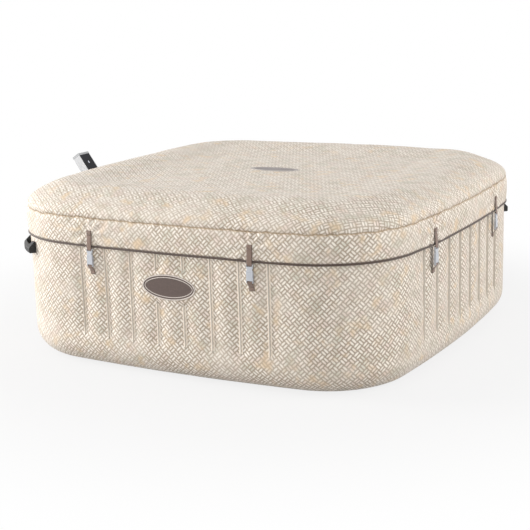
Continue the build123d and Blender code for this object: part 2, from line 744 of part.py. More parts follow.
shell_foot = foot_height + tray + fit_gap
port_end = pump_gap + 30.0  # tub wall to the rear end of the pump's ports
pipe_bore = pipe_radius - pipe_wall
vent_places = [
    (pump_middle, hand * (pump_width - pump_wall) / 2, vent_level + vent_height / 2)
    for hand in (-1, 1)
]
gland_out = pump_gap + pump_depth
gland_place = [(0, gland_level)]
with BuildPart() as pump_housing:
    with BuildSketch(Plane.XY.offset(shell_foot)):
        pump_plan(0)
        pump_plan(pump_wall, Mode.SUBTRACT)
    extrude(amount=cap_level - fit_gap - shell_foot)
    with at(water_places, pump_gap):
        Cylinder(water_tube + fit_gap, 4 * pump_wall, mode=Mode.SUBTRACT)
    with at(air_place, pump_gap):
        Cylinder(air_tube + fit_gap, 4 * pump_wall, mode=Mode.SUBTRACT)
    with at(gland_place, gland_out):
        Cylinder(gland_radius + fit_gap, 4 * pump_wall, mode=Mode.SUBTRACT)
    with Locations(*vent_places):
        Box(vent_length, 4 * pump_wall, vent_height, mode=Mode.SUBTRACT)
save(pump_housing, "pump_housing")

with BuildPart() as vent_grilles:
    with Locations(*vent_places):
        Box(vent_length - 2 * fit_gap, pump_wall, vent_height - 2 * fit_gap)
        for step in range(vent_slots):
            rise = (step - (vent_slots - 1) / 2) * vent_height / (vent_slots + 1)
            with Locations((0, 0, rise)):
                Box(
                    vent_length - 4 * tray,
                    4 * pump_wall,
                    vent_height / (vent_slots + 1) / 2,
                    mode=Mode.SUBTRACT,
                )
save(vent_grilles, "vent_grilles")

plate_middle = -half_side - neck_front - neck_plate_depth / 2 + screw_radius
screw_grid = (neck_plate_depth - 2 * screw_inset, neck_plate_width - 2 * screw_inset, 2, 2)
with BuildPart() as pump_cap:
    with BuildSketch(Plane.XY.offset(cap_level)):
        pump_plan(0)
    extrude(amount=pump_cap_height)
    fillet(pump_cap.faces().sort_by(Axis.Z)[-1].edges(), 2 * pump_wall)
    with BuildSketch(Plane.XY.offset(cap_level)):
        pump_plan(pump_wall)
    extrude(amount=pump_cap_height - 2 * pump_wall, mode=Mode.SUBTRACT)
    with Locations((plate_middle, 0, pump_height)):
        with GridLocations(*screw_grid):
            Cylinder(screw_radius + fit_gap, 6 * pump_wall, mode=Mode.SUBTRACT)
save(pump_cap, "pump_cap")

# ---- Control head: a neck bolted on the pump, leaning back over it, with a glass touch face --------
lean = radians(head_lean)
beside = Plane(origin=(-half_side, 0, 0), x_dir=(-1, 0, 0), z_dir=(0, 1, 0))  # X is out, Y is up
head_face = Plane(
    origin=(-half_side - head_front, 0, head_level),
    x_dir=(0, 1, 0),
    z_dir=(cos(lean), 0, sin(lean)),
)
neck_level = pump_height + fit_gap
neck_back = neck_front + neck_depth
head_top = (head_front + head_length * sin(lean), head_level + head_length * cos(lean))
head_back = (head_top[0] + head_depth * cos(lean), head_top[1] - head_depth * sin(lean))
back_drop = (head_back[0] - neck_back) / sin(lean) * cos(lean)
with BuildPart() as control_neck:
    with BuildSketch(beside) as neck_section:
        with BuildLine():
            Polyline(
                (neck_front, neck_level),
                (neck_front, head_level - neck_bend),
                (head_front, head_level),
                head_top,
                head_back,
                (neck_back, head_back[1] - back_drop),
                (neck_back, neck_level),
                close=True,
            )
        make_face()
    extrude(amount=head_width / 2, both=True)
    with BuildSketch(beside):
        add(neck_section.sketch_local)
        offset(amount=-head_wall, kind=Kind.INTERSECTION, mode=Mode.REPLACE)
    extrude(amount=head_width / 2 - head_wall, both=True, mode=Mode.SUBTRACT)
    with Locations((plate_middle, 0, neck_level)):
        Box(neck_plate_depth, neck_plate_width, neck_plate, align=BOTTOM)
        with GridLocations(*screw_grid):
            Cylinder(screw_radius + fit_gap, 4 * neck_plate, mode=Mode.SUBTRACT)
    with BuildSketch(head_face):
        with Locations((0, head_length)):
            Rectangle(
                head_width - 2 * glass_border,
                glass_length + 2 * glass_border,
                align=(Align.CENTER, Align.MAX),
            )
    extrude(amount=-glass - fit_gap, mode=Mode.SUBTRACT)
save(control_neck, "control_neck")

with BuildPart() as touch_glass:
    with BuildSketch(head_face):
        with Locations((0, head_length - fit_gap)):
            Rectangle(
                head_width - 2 * glass_border - 2 * fit_gap,
                glass_length + 2 * glass_border - 2 * fit_gap,
                align=(Align.CENTER, Align.MAX),
            )
    extrude(amount=-glass)
save(touch_glass, "touch_glass")

with BuildPart() as head_end:
    with BuildSketch(head_face):
        with Locations((0, head_length + fit_gap)):
            Rectangle(head_width, head_cap - fit_gap, align=(Align.CENTER, Align.MIN))
    extrude(amount=-head_depth)
    fillet(head_end.edges().filter_by(Axis.Y).group_by(Axis.Z)[-1], head_cap / 4)
save(head_end, "head_end")

with BuildPart() as neck_screws:
    with Locations((plate_middle, 0, neck_level + neck_plate + fit_gap)):
        with GridLocations(*screw_grid):
            Cylinder(screw_head, screw_radius, align=BOTTOM)
            Cylinder(screw_radius, screw_length, align=TOP)
save(neck_screws, "neck_screws")

# ---- Ports and pipes ------------------------------------------------------------------------------
port_start = spigot + weld_gap
collar_out = pump_gap + pump_wall + fit_gap
with BuildPart() as pump_ports:
    for places, tube in ((water_places, water_tube), (air_place, air_tube)):
        with at(places, port_start):
            Cylinder(tube, port_end - port_start, align=BOTTOM)
        with at(places, collar_out):
            Cylinder(tube + flange_out / 2, tube_wall, align=BOTTOM)
        with at(places, port_end - tube_wall):
            Cylinder(tube - tube_wall, 2 * pump_gap, align=TOP, mode=Mode.SUBTRACT)
        with at(places, port_end):
            Cylinder(pipe_bore, 2 * pump_gap, mode=Mode.SUBTRACT)
save(pump_ports, "pump_ports")


def piped(points, name):
    """A pipe of straight runs and round bends."""
    with BuildPart() as pipe:
        with BuildLine():
            route = FilletPolyline(*points, radius=pipe_bend)
        with BuildSketch(Plane(origin=route @ 0, z_dir=route % 0)):
            Circle(pipe_radius)
            Circle(pipe_bore, mode=Mode.SUBTRACT)
        sweep()
    save(pipe, name)


port_x = -half_side - port_end - fit_gap
volute_face = volute_middle - volute_length / 2
heater_foot = machine_level + volute_radius + pipe_radius + fit_gap
bridge_level = cap_level - bridge_drop
heater_head = bridge_level - 2 * pipe_bend
heater_length = heater_head - heater_foot
piped(
    [
        (port_x, -water_offset, water_level),
        (machine_line, -water_offset, water_level),
        (machine_line, -water_offset, machine_level),
        (machine_line, volute_face - fit_gap, machine_level),
    ],
    "suction_pipe",
)
piped(
    [
        (machine_line, volute_middle, heater_head + fit_gap),
        (machine_line, volute_middle, bridge_level),
        (machine_line, water_offset, bridge_level),
        (machine_line, water_offset, water_level),
        (port_x, water_offset, water_level),
    ],
    "return_pipe",
)


# ---- Water pump and heater ------------------------------------------------------------------------
def shaft_at(y):
    """A location on the water pump's shaft, with Z along +Y."""
    return Locations(Location((machine_line, y, machine_level), (-90, 0, 0)))


with BuildPart() as pump_volute:
    with shaft_at(volute_middle):
        Cylinder(volute_radius, volute_length)
    with Locations((machine_line, volute_middle, machine_level)):
        Cylinder(pipe_radius, heater_foot - fit_gap - machine_level, align=BOTTOM)
    with shaft_at(volute_middle):
        Cylinder(volute_radius - volute_wall, volute_length - 2 * volute_wall, mode=Mode.SUBTRACT)
    with Locations((machine_line, volute_middle, machine_level)):
        Cylinder(pipe_bore, 2 * volute_radius, align=BOTTOM, mode=Mode.SUBTRACT)
    with shaft_at(volute_middle):
        Cylinder(pipe_bore, volute_length, align=TOP, mode=Mode.SUBTRACT)
        Cylinder(shaft_radius + shaft_play, volute_length, align=BOTTOM, mode=Mode.SUBTRACT)
save(pump_volute, "pump_volute")


def wheel(vanes):
    """A fan wheel about Z: a back plate at Z 0, vanes below it and a shaft above it."""
    with BuildPart() as rotor:
        Cylinder(impeller_radius, volute_wall, align=TOP)
        Cylinder(2 * shaft_radius, volute_length / 2, align=TOP)
        with PolarLocations(impeller_radius * 0.6, vanes):
            with Locations(Rotation(0, 0, 25)):
                Box(impeller_radius * 0.6, pipe_wall, volute_length / 2, align=TOP)
        Cylinder(shaft_radius, 2 * volute_wall + bore_depth, align=BOTTOM)
    return rotor.part


wheel_gap = volute_wall + volute_wall / 2  # outer face of a case to its wheel's back plate
with BuildPart() as impeller:
    with shaft_at(volute_middle + volute_length / 2 - wheel_gap):
        add(wheel(6))
save(impeller, "impeller")

motor_face = motor_middle - motor_length / 2
with BuildPart() as pump_motor:
    with shaft_at(motor_face):
        Cylinder(motor_radius, motor_length, align=BOTTOM)
    fillet(pump_motor.edges().filter_by(GeomType.CIRCLE).sort_by(Axis.Y)[-1], motor_radius / 5)
    with shaft_at(motor_face):
        Cylinder(
            shaft_radius + shaft_play, 2 * (bore_depth + wheel_gap), mode=Mode.SUBTRACT
        )
save(pump_motor, "pump_motor")

with BuildPart() as heater:
    with Locations((machine_line, volute_middle, heater_foot)):
        Cylinder(heater_radius, heater_length, align=BOTTOM)
        Cylinder(pipe_bore, 2 * heater_length, mode=Mode.SUBTRACT)
    with Locations((machine_line, volute_middle, heater_foot + tube_wall)):
        Cylinder(
            heater_radius - pipe_wall,
            heater_length - 2 * tube_wall,
            align=BOTTOM,
            mode=Mode.SUBTRACT,
        )
save(heater, "heater")

# ---- Air blower on the air port -------------------------------------------------------------------
blower_out = port_end + fit_gap
with BuildPart() as blower_case:
    with at(air_place, blower_out):
        Cylinder(blower_radius, blower_length, align=BOTTOM)
        Cylinder(pipe_bore, 2 * tube_wall, mode=Mode.SUBTRACT)
    with at(air_place, blower_out + volute_wall):
        Cylinder(
            blower_radius - volute_wall,
            blower_length - 2 * volute_wall,
            align=BOTTOM,
            mode=Mode.SUBTRACT,
        )
    with at(air_place, blower_out + blower_length):
        Cylinder(shaft_radius + shaft_play, 4 * volute_wall, mode=Mode.SUBTRACT)
    with Locations(left_place(*air_place[0], blower_out + blower_length).location):
        with PolarLocations((blower_radius + blower_motor_radius) / 2, 10):
            Cylinder(shaft_radius, 4 * volute_wall, mode=Mode.SUBTRACT)
save(blower_case, "blower_case")

with BuildPart() as blower_wheel:
    with at(air_place, blower_out + blower_length - wheel_gap):
        add(wheel(12))
save(blower_wheel, "blower_wheel")

with BuildPart() as blower_motor:
    with at(air_place, blower_out + blower_length + fit_gap):
        Cylinder(blower_motor_radius, blower_motor_length, align=BOTTOM)
        Cylinder(
            shaft_radius + shaft_play, 2 * (bore_depth + wheel_gap), mode=Mode.SUBTRACT
        )
save(blower_motor, "blower_motor")

# ---- Cord gland in the pump unit's back -----------------------------------------------------------
with BuildPart() as cord_gland:
    with at(gland_place, gland_out - pump_wall - fit_gap):
        Cylinder(gland_radius * 1.5, tube_wall, align=TOP)
        Cylinder(gland_radius, 3 * pump_wall, align=BOTTOM)
    with at(gland_place, gland_out + pump_wall):
        Cone(gland_radius * 1.3, gland_radius * 0.8, 2 * gland_radius, align=BOTTOM)
    with at(gland_place, gland_out):
        Cylinder(gland_radius * 0.4, 8 * gland_radius, mode=Mode.SUBTRACT)
save(cord_gland, "cord_gland")
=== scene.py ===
"""Soft pieces, fittings' detail and finishes of a square inflatable hot tub, made round its CAD frame.

Metres. The origin is the middle of the tub's base, +Z is up, the badge is on the -Y wall and the
pump unit stands outside the -X wall.
"""

import json
from math import asin, atan2, cos, exp, floor, pi, radians, sin, sqrt

import bmesh
import bpy
from bmesh.types import BMEdge, BMFace, BMVert
from mathutils import Matrix, Vector, noise


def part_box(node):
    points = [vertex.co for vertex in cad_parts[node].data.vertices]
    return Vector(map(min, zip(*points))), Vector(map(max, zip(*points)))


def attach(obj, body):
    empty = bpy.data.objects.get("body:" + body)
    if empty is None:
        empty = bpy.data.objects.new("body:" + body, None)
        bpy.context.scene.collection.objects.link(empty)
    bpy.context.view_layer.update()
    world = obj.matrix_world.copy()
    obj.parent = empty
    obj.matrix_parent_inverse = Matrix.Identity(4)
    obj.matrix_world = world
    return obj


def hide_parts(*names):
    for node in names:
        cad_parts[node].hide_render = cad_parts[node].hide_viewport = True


bl_info = {
    "name": "Inflatable hot tub",
    "version": (1, 0, 0),
    "blender": (4, 5, 0),
    "location": "View3D > Sidebar > Hot tub",
    "description": "Makes a square inflatable hot tub's soft pieces and finishes round its CAD frame",
    "category": "Object",
}

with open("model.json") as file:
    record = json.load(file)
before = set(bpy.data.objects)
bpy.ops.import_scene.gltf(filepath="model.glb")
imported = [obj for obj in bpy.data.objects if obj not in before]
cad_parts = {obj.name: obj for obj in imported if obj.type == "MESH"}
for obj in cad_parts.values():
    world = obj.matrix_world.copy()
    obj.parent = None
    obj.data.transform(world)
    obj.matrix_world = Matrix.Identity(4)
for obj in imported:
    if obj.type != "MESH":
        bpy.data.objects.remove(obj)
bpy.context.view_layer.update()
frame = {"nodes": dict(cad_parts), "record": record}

# ---- The tub's plan: four bowed sides and four round corners, as in the CAD source ----------------
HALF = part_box("outer_wall")[1].x  # centre to the middle of a side
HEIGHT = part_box("top_deck")[1].z
SIDE_TURN = radians(4.9)  # from a side's middle to its end
CORNER = 0.415  # corner's radius
CHAMBER = 0.240
FOOT_ROUND = 0.120
TOP_ROUND = 0.110
RIM_ROUND = 0.060
PITCH = 0.137  # weld to weld along a side
WELDS = 8  # on each side
STRAP_OFFSET = 0.407

LEAN = sin(SIDE_TURN) - cos(SIDE_TURN)
SIDE = (HALF + CORNER * LEAN) / (1 + LEAN)  # a side's radius
CORNER_CENTRE = (SIDE - CORNER) * sin(SIDE_TURN)
CORNER_TURN = pi / 2 - 2 * SIDE_TURN
HALF_SIDE_RUN = SIDE * SIDE_TURN
QUARTER = 2 * HALF_SIDE_RUN + CORNER * CORNER_TURN
ROUND = 4 * QUARTER  # the outline's whole length
LAST_WELD = (WELDS - 1) / 2 * PITCH
FRONT = Vector((0, SIDE - HALF, 0))  # centres of a quarter's arcs
CORNER_AT = Vector((CORNER_CENTRE, -CORNER_CENTRE, 0))
RIGHT = Vector((HALF - SIDE, 0, 0))
CLOSING = 2e-4  # a swept profile's last copy lies nearer than this to its first

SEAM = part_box("lid_skirt")[1].z  # where the skirt meets the lid's top
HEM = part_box("lid_skirt")[0].z
LID_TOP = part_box("lid_cover")[1].z
SKIRT_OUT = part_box("lid_skirt")[1].x - HALF
PIPING = (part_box("skirt_piping")[1].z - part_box("skirt_piping")[0].z) / 2
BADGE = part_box("front_badge")


def linear(code):
    """An sRGB hex colour as linear red, green and blue."""
    parts = [int(code[i : i + 2], 16) / 255 for i in (0, 2, 4)]
    return tuple(c / 12.92 if c <= 0.04045 else ((c + 0.055) / 1.055) ** 2.4 for c in parts)


def length(name, description, default):
    """A length that shows in the sidebar."""
    return bpy.props.FloatProperty(
        name=name, description=description, default=default, min=0, unit="LENGTH", precision=4
    )


def colour(name, description, code):
    """A colour that shows in the sidebar."""
    return bpy.props.FloatVectorProperty(
        name=name, description=description, default=linear(code), subtype="COLOR", min=0, max=1
    )


class TubSizes(bpy.types.PropertyGroup):
    """Sizes that shape the soft pieces."""

    weld_depth: length("Weld depth", "How far a weld lies behind the crown of a channel", 0.011)
    weld_width: length("Weld width", "Width of the flat welded strip", 0.014)
    rim_puff: length("Rim puff", "How far the lid's rim stands over its middle", 0.013)
    rim_roll: length("Rim roll", "How far in from its edge the lid rolls over", 0.155)
    groove: length("Groove", "Depth of the groove at the lid's edge seam", 0.0045)
    pucker: length("Pucker", "Height of the puckers along the lid's edge seam", 0.0075)
    hem_wave: length("Hem wave", "How far the skirt's hem wanders up and down", 0.0022)
    strand: length("Strand", "Pitch of the strands of the printed weave", 0.0138)


class TubColours(bpy.types.PropertyGroup):
    """Colours of the finishes."""

    strand: colour("Strand", "Light strands of the printed weave", "EEE7DC")
    shade: colour("Shade", "Gaps between the strands", "A29380")
    straw: colour("Straw", "Straw-coloured blotches of the print", "D8BE9A")
    rose: colour("Rose", "Pinkish blotches of the print", "DCC6BC")
    sage: colour("Sage", "Greenish grey blotches of the print", "C3C3B1")
    piping: colour("Piping", "Bound piping round the hem", "493A31")
    webbing: colour("Webbing", "Strap webbing", "7C675B")
    badge: colour("Badge", "Field of the badges", "5C4D47")
    badge_rim: colour("Badge rim", "Rim of the badges", "D9D0C6")
    buckle: colour("Buckle", "Side-release buckles", "B9BDC3")
    sheet: colour("Sheet", "Plain laminated sheet inside the basin", "DAD5CB")
    shell: colour("Shell", "Moulded shell of the pump unit and the control head", "BDBFC1")


def sizes():
    return bpy.context.scene.tub_sizes


def colours():
    return bpy.context.scene.tub_colours


def smooth(low, high, value):
    """0 below low, 1 above high, and an even rise between."""
    t = min(1.0, max(0.0, (value - low) / (high - low)))
    return t * t * (3 - 2 * t)


def wander(x, y, z):
    """Smooth noise at a place, to either side of nothing."""
    return noise.noise(Vector((x, y, z)))


# ---- Places on the plan ---------------------------------------------------------------------------
def plan_place(co):
    """(side, run from its middle, distance out of the outline, outward direction) at a point."""
    quarter = floor((atan2(co.y, co.x) + pi / 4) / (pi / 2)) + 1  # 0 is the front side
    back = Matrix.Rotation(-quarter * pi / 2, 2)
    x, y = back @ Vector((co.x, co.y))
    hand = 1 if x >= 0 else -1
    x = abs(x)
    turn = atan2(x, SIDE - HALF - y)
    if turn <= SIDE_TURN:
        centre, radius, run = Vector((0, SIDE - HALF)), SIDE, SIDE * turn
    else:
        centre, radius = Vector((CORNER_CENTRE, -CORNER_CENTRE)), CORNER
        turn = max(SIDE_TURN, atan2(x - CORNER_CENTRE, -CORNER_CENTRE - y))
        if y > -CORNER_CENTRE:
            turn = pi / 4
        run = HALF_SIDE_RUN + CORNER * (turn - SIDE_TURN)
    out = (Vector((x, y)) - centre).length - radius
    outward = back.transposed() @ Vector((hand * sin(turn), -cos(turn)))
    return quarter % 4, hand * run, out, outward.to_3d()


def whole_run(side, run):
    """The run round the whole outline, counted so that it starts at the corner behind the right."""
    return (side + 2) % 4 * QUARTER + run


def weld_distance(run):
    """How far a place on a side is from the nearest upright weld."""
    if abs(run) >= LAST_WELD:
        return abs(run) - LAST_WELD
    share = run / PITCH + 0.5
    return abs(share - round(share)) * PITCH


def wall_matrix(side, along, out, height):
    """A place on a wall: X runs along it, Y is up and Z is out."""
    turn = Matrix.Rotation(asin(along / SIDE) + side * pi / 2, 4, "Z")
    middle = Matrix.Rotation(side * pi / 2, 4, "Z") @ Vector((0, SIDE - HALF, 0))
    stand = Matrix.Rotation(pi / 2, 4, "X")
    place = Matrix.Translation(middle) @ turn @ Matrix.Translation((0, -SIDE - out, height))
    return place @ stand


STRAPS = [(side, hand * STRAP_OFFSET) for side in range(4) for hand in (-1, 1)]


# ---- Mesh making ----------------------------------------------------------------------------------
def new_mesh():
    """A bmesh whose points carry their run and rise on the flat cloth, for its UV map."""
    bm = bmesh.new()
    bm.verts.layers.float.new("run")
    bm.verts.layers.float.new("rise")
    return bm


def of_kind(parts, kind):
    """The points, edges or faces among an operator's results."""
    return [part for part in parts if isinstance(part, kind)]


def top_face(bm):
    """The largest face that looks up."""
    return max((f for f in bm.faces if f.normal.z > 0.9), key=lambda f: f.calc_area())


def draw(bm, start, *moves):
    """Draws a profile at the front side's middle, from (inset, height) points.

    A move is (inset, height, spacing) for a straight run to that point, or (inset, height,
    degrees, steps) for an arc about it. The points keep their distance along the profile.
    """
    rise = bm.verts.layers.float["rise"]
    here = bm.verts.new((0, start[0] - HALF, start[1]))
    for move in moves:
        centre = Vector((0, move[0] - HALF, move[1]))
        if len(move) == 4:
            made = bmesh.ops.spin(
                bm, geom=[here], cent=centre, axis=(1, 0, 0), dvec=(0, 0, 0),
                angle=radians(move[2]), steps=move[3], use_duplicate=False,
            )
            here = of_kind(made["geom_last"], BMVert)[0]
        else:
            reach = centre - here.co
            steps = max(1, round(reach.length / move[2]))
            for _ in range(steps):
                made = bmesh.ops.extrude_vert_indiv(bm, verts=[here])
                here = made["verts"][0]
                bmesh.ops.translate(bm, verts=[here], vec=reach / steps)
    bm.verts.ensure_lookup_table()
    chain = list(bm.verts)  # each move adds its points in order
    for before, after in zip(chain, chain[1:]):
        after[rise] = before[rise] + (after.co - before.co).length
    return list(bm.edges) + chain


def sweep(bm, profile, arcs):
    """Carries a profile once round the tub, along each quarter's arcs, and closes it."""
    for quarter in range(4):
        turn = Matrix.Rotation(quarter * pi / 2, 3, "Z")
        for centre, angle, steps in arcs:
            made = bmesh.ops.spin(
                bm, geom=profile, cent=turn @ centre, axis=(0, 0, 1), dvec=(0, 0, 0),
                angle=angle, steps=steps, use_duplicate=False,
            )
            profile = made["geom_last"]
    bmesh.ops.remove_doubles(bm, verts=bm.verts, dist=CLOSING)


def carry_round(bm, profile, weld_steps, end_steps, corner_steps):
    """Carries a profile round the tub, with finer steps where a side has welds."""
    weld_turn = LAST_WELD / SIDE
    end_turn = SIDE_TURN - weld_turn
    arcs = (
        (FRONT, weld_turn, weld_steps),
        (FRONT, end_turn, end_steps),
        (CORNER_AT, CORNER_TURN, corner_steps),
        (RIGHT, end_turn, end_steps),
        (RIGHT, weld_turn, weld_steps),
    )
    sweep(bm, profile, arcs)
    bmesh.ops.recalc_face_normals(bm, faces=bm.faces)
    mark_runs(bm)


def mark_runs(bm):
    """Notes each point's run round the outline."""
    run = bm.verts.layers.float["run"]
    for v in bm.verts:
        side, along, _, _ = plan_place(v.co)
        v[run] = whole_run(side, along)


def face_up(bm, up=True):
    """Turns every face of an open sheet over if the first one doesn't face the way it should."""
    bm.faces.ensure_lookup_table()
    tallest = max(bm.faces, key=lambda f: abs(f.normal.z))
    if (tallest.normal.z > 0) != up:
        bmesh.ops.reverse_faces(bm, faces=bm.faces)


def face_out(bm, sign=1):
    """Turns a swept sheet's faces away from the tub's middle, or towards it for sign -1."""
    bm.normal_update()
    total = sum(f.normal.dot(plan_place(f.calc_center_median())[3]) * f.calc_area() for f in bm.faces)
    if total * sign < 0:
        bmesh.ops.reverse_faces(bm, faces=bm.faces)


def lay_flat(bm):
    """Writes the UV map: run and rise on the flat cloth, in metres."""
    run, rise = bm.verts.layers.float["run"], bm.verts.layers.float["rise"]
    uv = bm.loops.layers.uv.new("cloth")
    for face in bm.faces:
        first = face.loops[0].vert[run]
        for loop in face.loops:
            along = loop.vert[run]
            turns = round((first - along) / ROUND)  # a face across the start counts on
            loop[uv].uv = (along + turns * ROUND, loop.vert[rise])


def as_mesh(bm, name):
    """A bmesh as a mesh; the bmesh is freed."""
    mesh = bpy.data.meshes.new(name)
    bm.to_mesh(mesh)
    bm.free()
    return mesh


def as_object(data, name):
    """A new object in the scene."""
    made = bpy.data.objects.new(name, data)
    bpy.context.scene.collection.objects.link(made)
    return made


def piece(bm, name, body, slot, *materials, sharp=None):
    """A finished mesh as an object that rides on its body."""
    mesh = as_mesh(bm, name)
    mesh.shade_smooth()
    if sharp:
        mesh.set_sharp_from_angle(angle=radians(sharp))
    for material in materials:
        mesh.materials.append(material)
    made = as_object(mesh, name)
    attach(made, body)
    return made


def thicken(obj, thickness, offset=-1):
    """Gives a sheet its thickness."""
    wall = obj.modifiers.new("thickness", "SOLIDIFY")
    wall.thickness, wall.offset = thickness, offset
    return obj


def outline_face(bm, out, height):
    """A flat face of the plan, moved out of the outline by out."""
    start = bm.verts.new((0, -HALF - out, height))
    sweep(bm, [start], ((FRONT, SIDE_TURN, 12), (CORNER_AT, CORNER_TURN, 24), (RIGHT, SIDE_TURN, 12)))
    face = bmesh.ops.contextual_create(bm, geom=list(bm.edges))["faces"][0]
    face.normal_update()
    if face.normal.z < 0:
        face.normal_flip()
    return face


def raise_block(bm, face, height):
    """Raises a block from a face; returns its top face."""
    made = bmesh.ops.extrude_face_region(bm, geom=[face], use_keep_orig=True)
    top = of_kind(made["geom"], BMFace)[0]
    bmesh.ops.translate(bm, verts=top.verts, vec=(0, 0, height))
    bmesh.ops.recalc_face_normals(bm, faces=bm.faces)
    return top


def round_edges(bm, edges, offset, segments):
    """A round along edges."""
    return bmesh.ops.bevel(
        bm, geom=edges, offset=offset, offset_type="OFFSET", segments=segments, profile=0.5,
        affect="EDGES", material=-1, clamp_overlap=True,
    )


# ---- Materials ------------------------------------------------------------------------------------
def add(tree, kind, *values, at=None, out=0, **settings):
    """Adds a shader node with its settings and its inputs, in order or by name; returns an output."""
    made = tree.nodes.new("ShaderNode" + kind)
    for name, value in settings.items():
        setattr(made, name, value)
    for key, value in [*enumerate(values), *(at or {}).items()]:
        if isinstance(value, bpy.types.NodeSocket):
            tree.links.new(value, made.inputs[key])
        elif made.inputs[key].type == "RGBA":
            made.inputs[key].default_value = (*value[:3], 1)
        else:
            made.inputs[key].default_value = value
    return made.outputs[out]


TWO_TONES = {"out": 2, "data_type": "RGBA"}  # a Mix node of two colours, on its inputs 6 and 7
SOFT = {"interpolation_type": "SMOOTHSTEP"}


def shaded(value, share):
    """A colour made lighter or darker."""
    return tuple(min(1, c * share) for c in value)


def start_finish(name, roughness, metallic=0.0, **sockets):
    """A new material with its shader's constants; returns it, its tree and its shader."""
    material = bpy.data.materials.new(name)
    material.use_nodes = True
    shader = material.node_tree.nodes["Principled BSDF"]
    shader.inputs["Roughness"].default_value = roughness
    shader.inputs["Metallic"].default_value = metallic
    for key, value in sockets.items():
        shader.inputs[key.replace("_", " ")].default_value = value
    return material, material.node_tree, shader


def close_finish(tree, shader, cloth, height, strength, depth):
    """Leads a colour and a relief into the shader."""
    tree.links.new(cloth, shader.inputs["Base Color"])
    if height is not None:
        normal = add(tree, "Bump", at={"Height": height, "Strength": strength, "Distance": depth})
        tree.links.new(normal, shader.inputs["Normal"])


def woven_strands(tree, place, pitch):
    """Pairs of short strands crossing on the diagonal: their height, and a number for each."""
    turned = add(tree, "Mapping", at={0: place, 2: (0, 0, pi / 4), 3: (0.5 / pitch,) * 3})
    cell = add(tree, "VectorMath", turned, operation="FLOOR")
    column = add(tree, "SeparateXYZ", cell).node.outputs
    spot = add(tree, "SeparateXYZ", add(tree, "VectorMath", turned, operation="FRACTION")).node.outputs
    odd = add(tree, "Math", column[0], column[1], operation="ADD")
    odd = add(tree, "Math", odd, 2.0, operation="FLOORED_MODULO")
    along = add(tree, "Mix", at={0: odd, 2: spot[0], 3: spot[1]})
    across = add(tree, "Mix", at={0: odd, 2: spot[1], 3: spot[0]})
    doubled = add(tree, "Math", across, 2.0, operation="MULTIPLY")
    stripe = add(tree, "Math", doubled, operation="FRACT")
    belly = add(tree, "Math", add(tree, "Math", stripe, pi, operation="MULTIPLY"), operation="SINE")
    ends = add(tree, "Math", add(tree, "Math", along, pi, operation="MULTIPLY"), operation="SINE")
    ends = add(tree, "Math", ends, 0.4, operation="POWER")
    height = add(tree, "Math", belly, ends, operation="MULTIPLY")
    strand = add(tree, "Math", doubled, operation="FLOOR")
    label = add(tree, "CombineXYZ", column[0], column[1], strand)
    return height, add(tree, "TexWhiteNoise", label, noise_dimensions="3D")


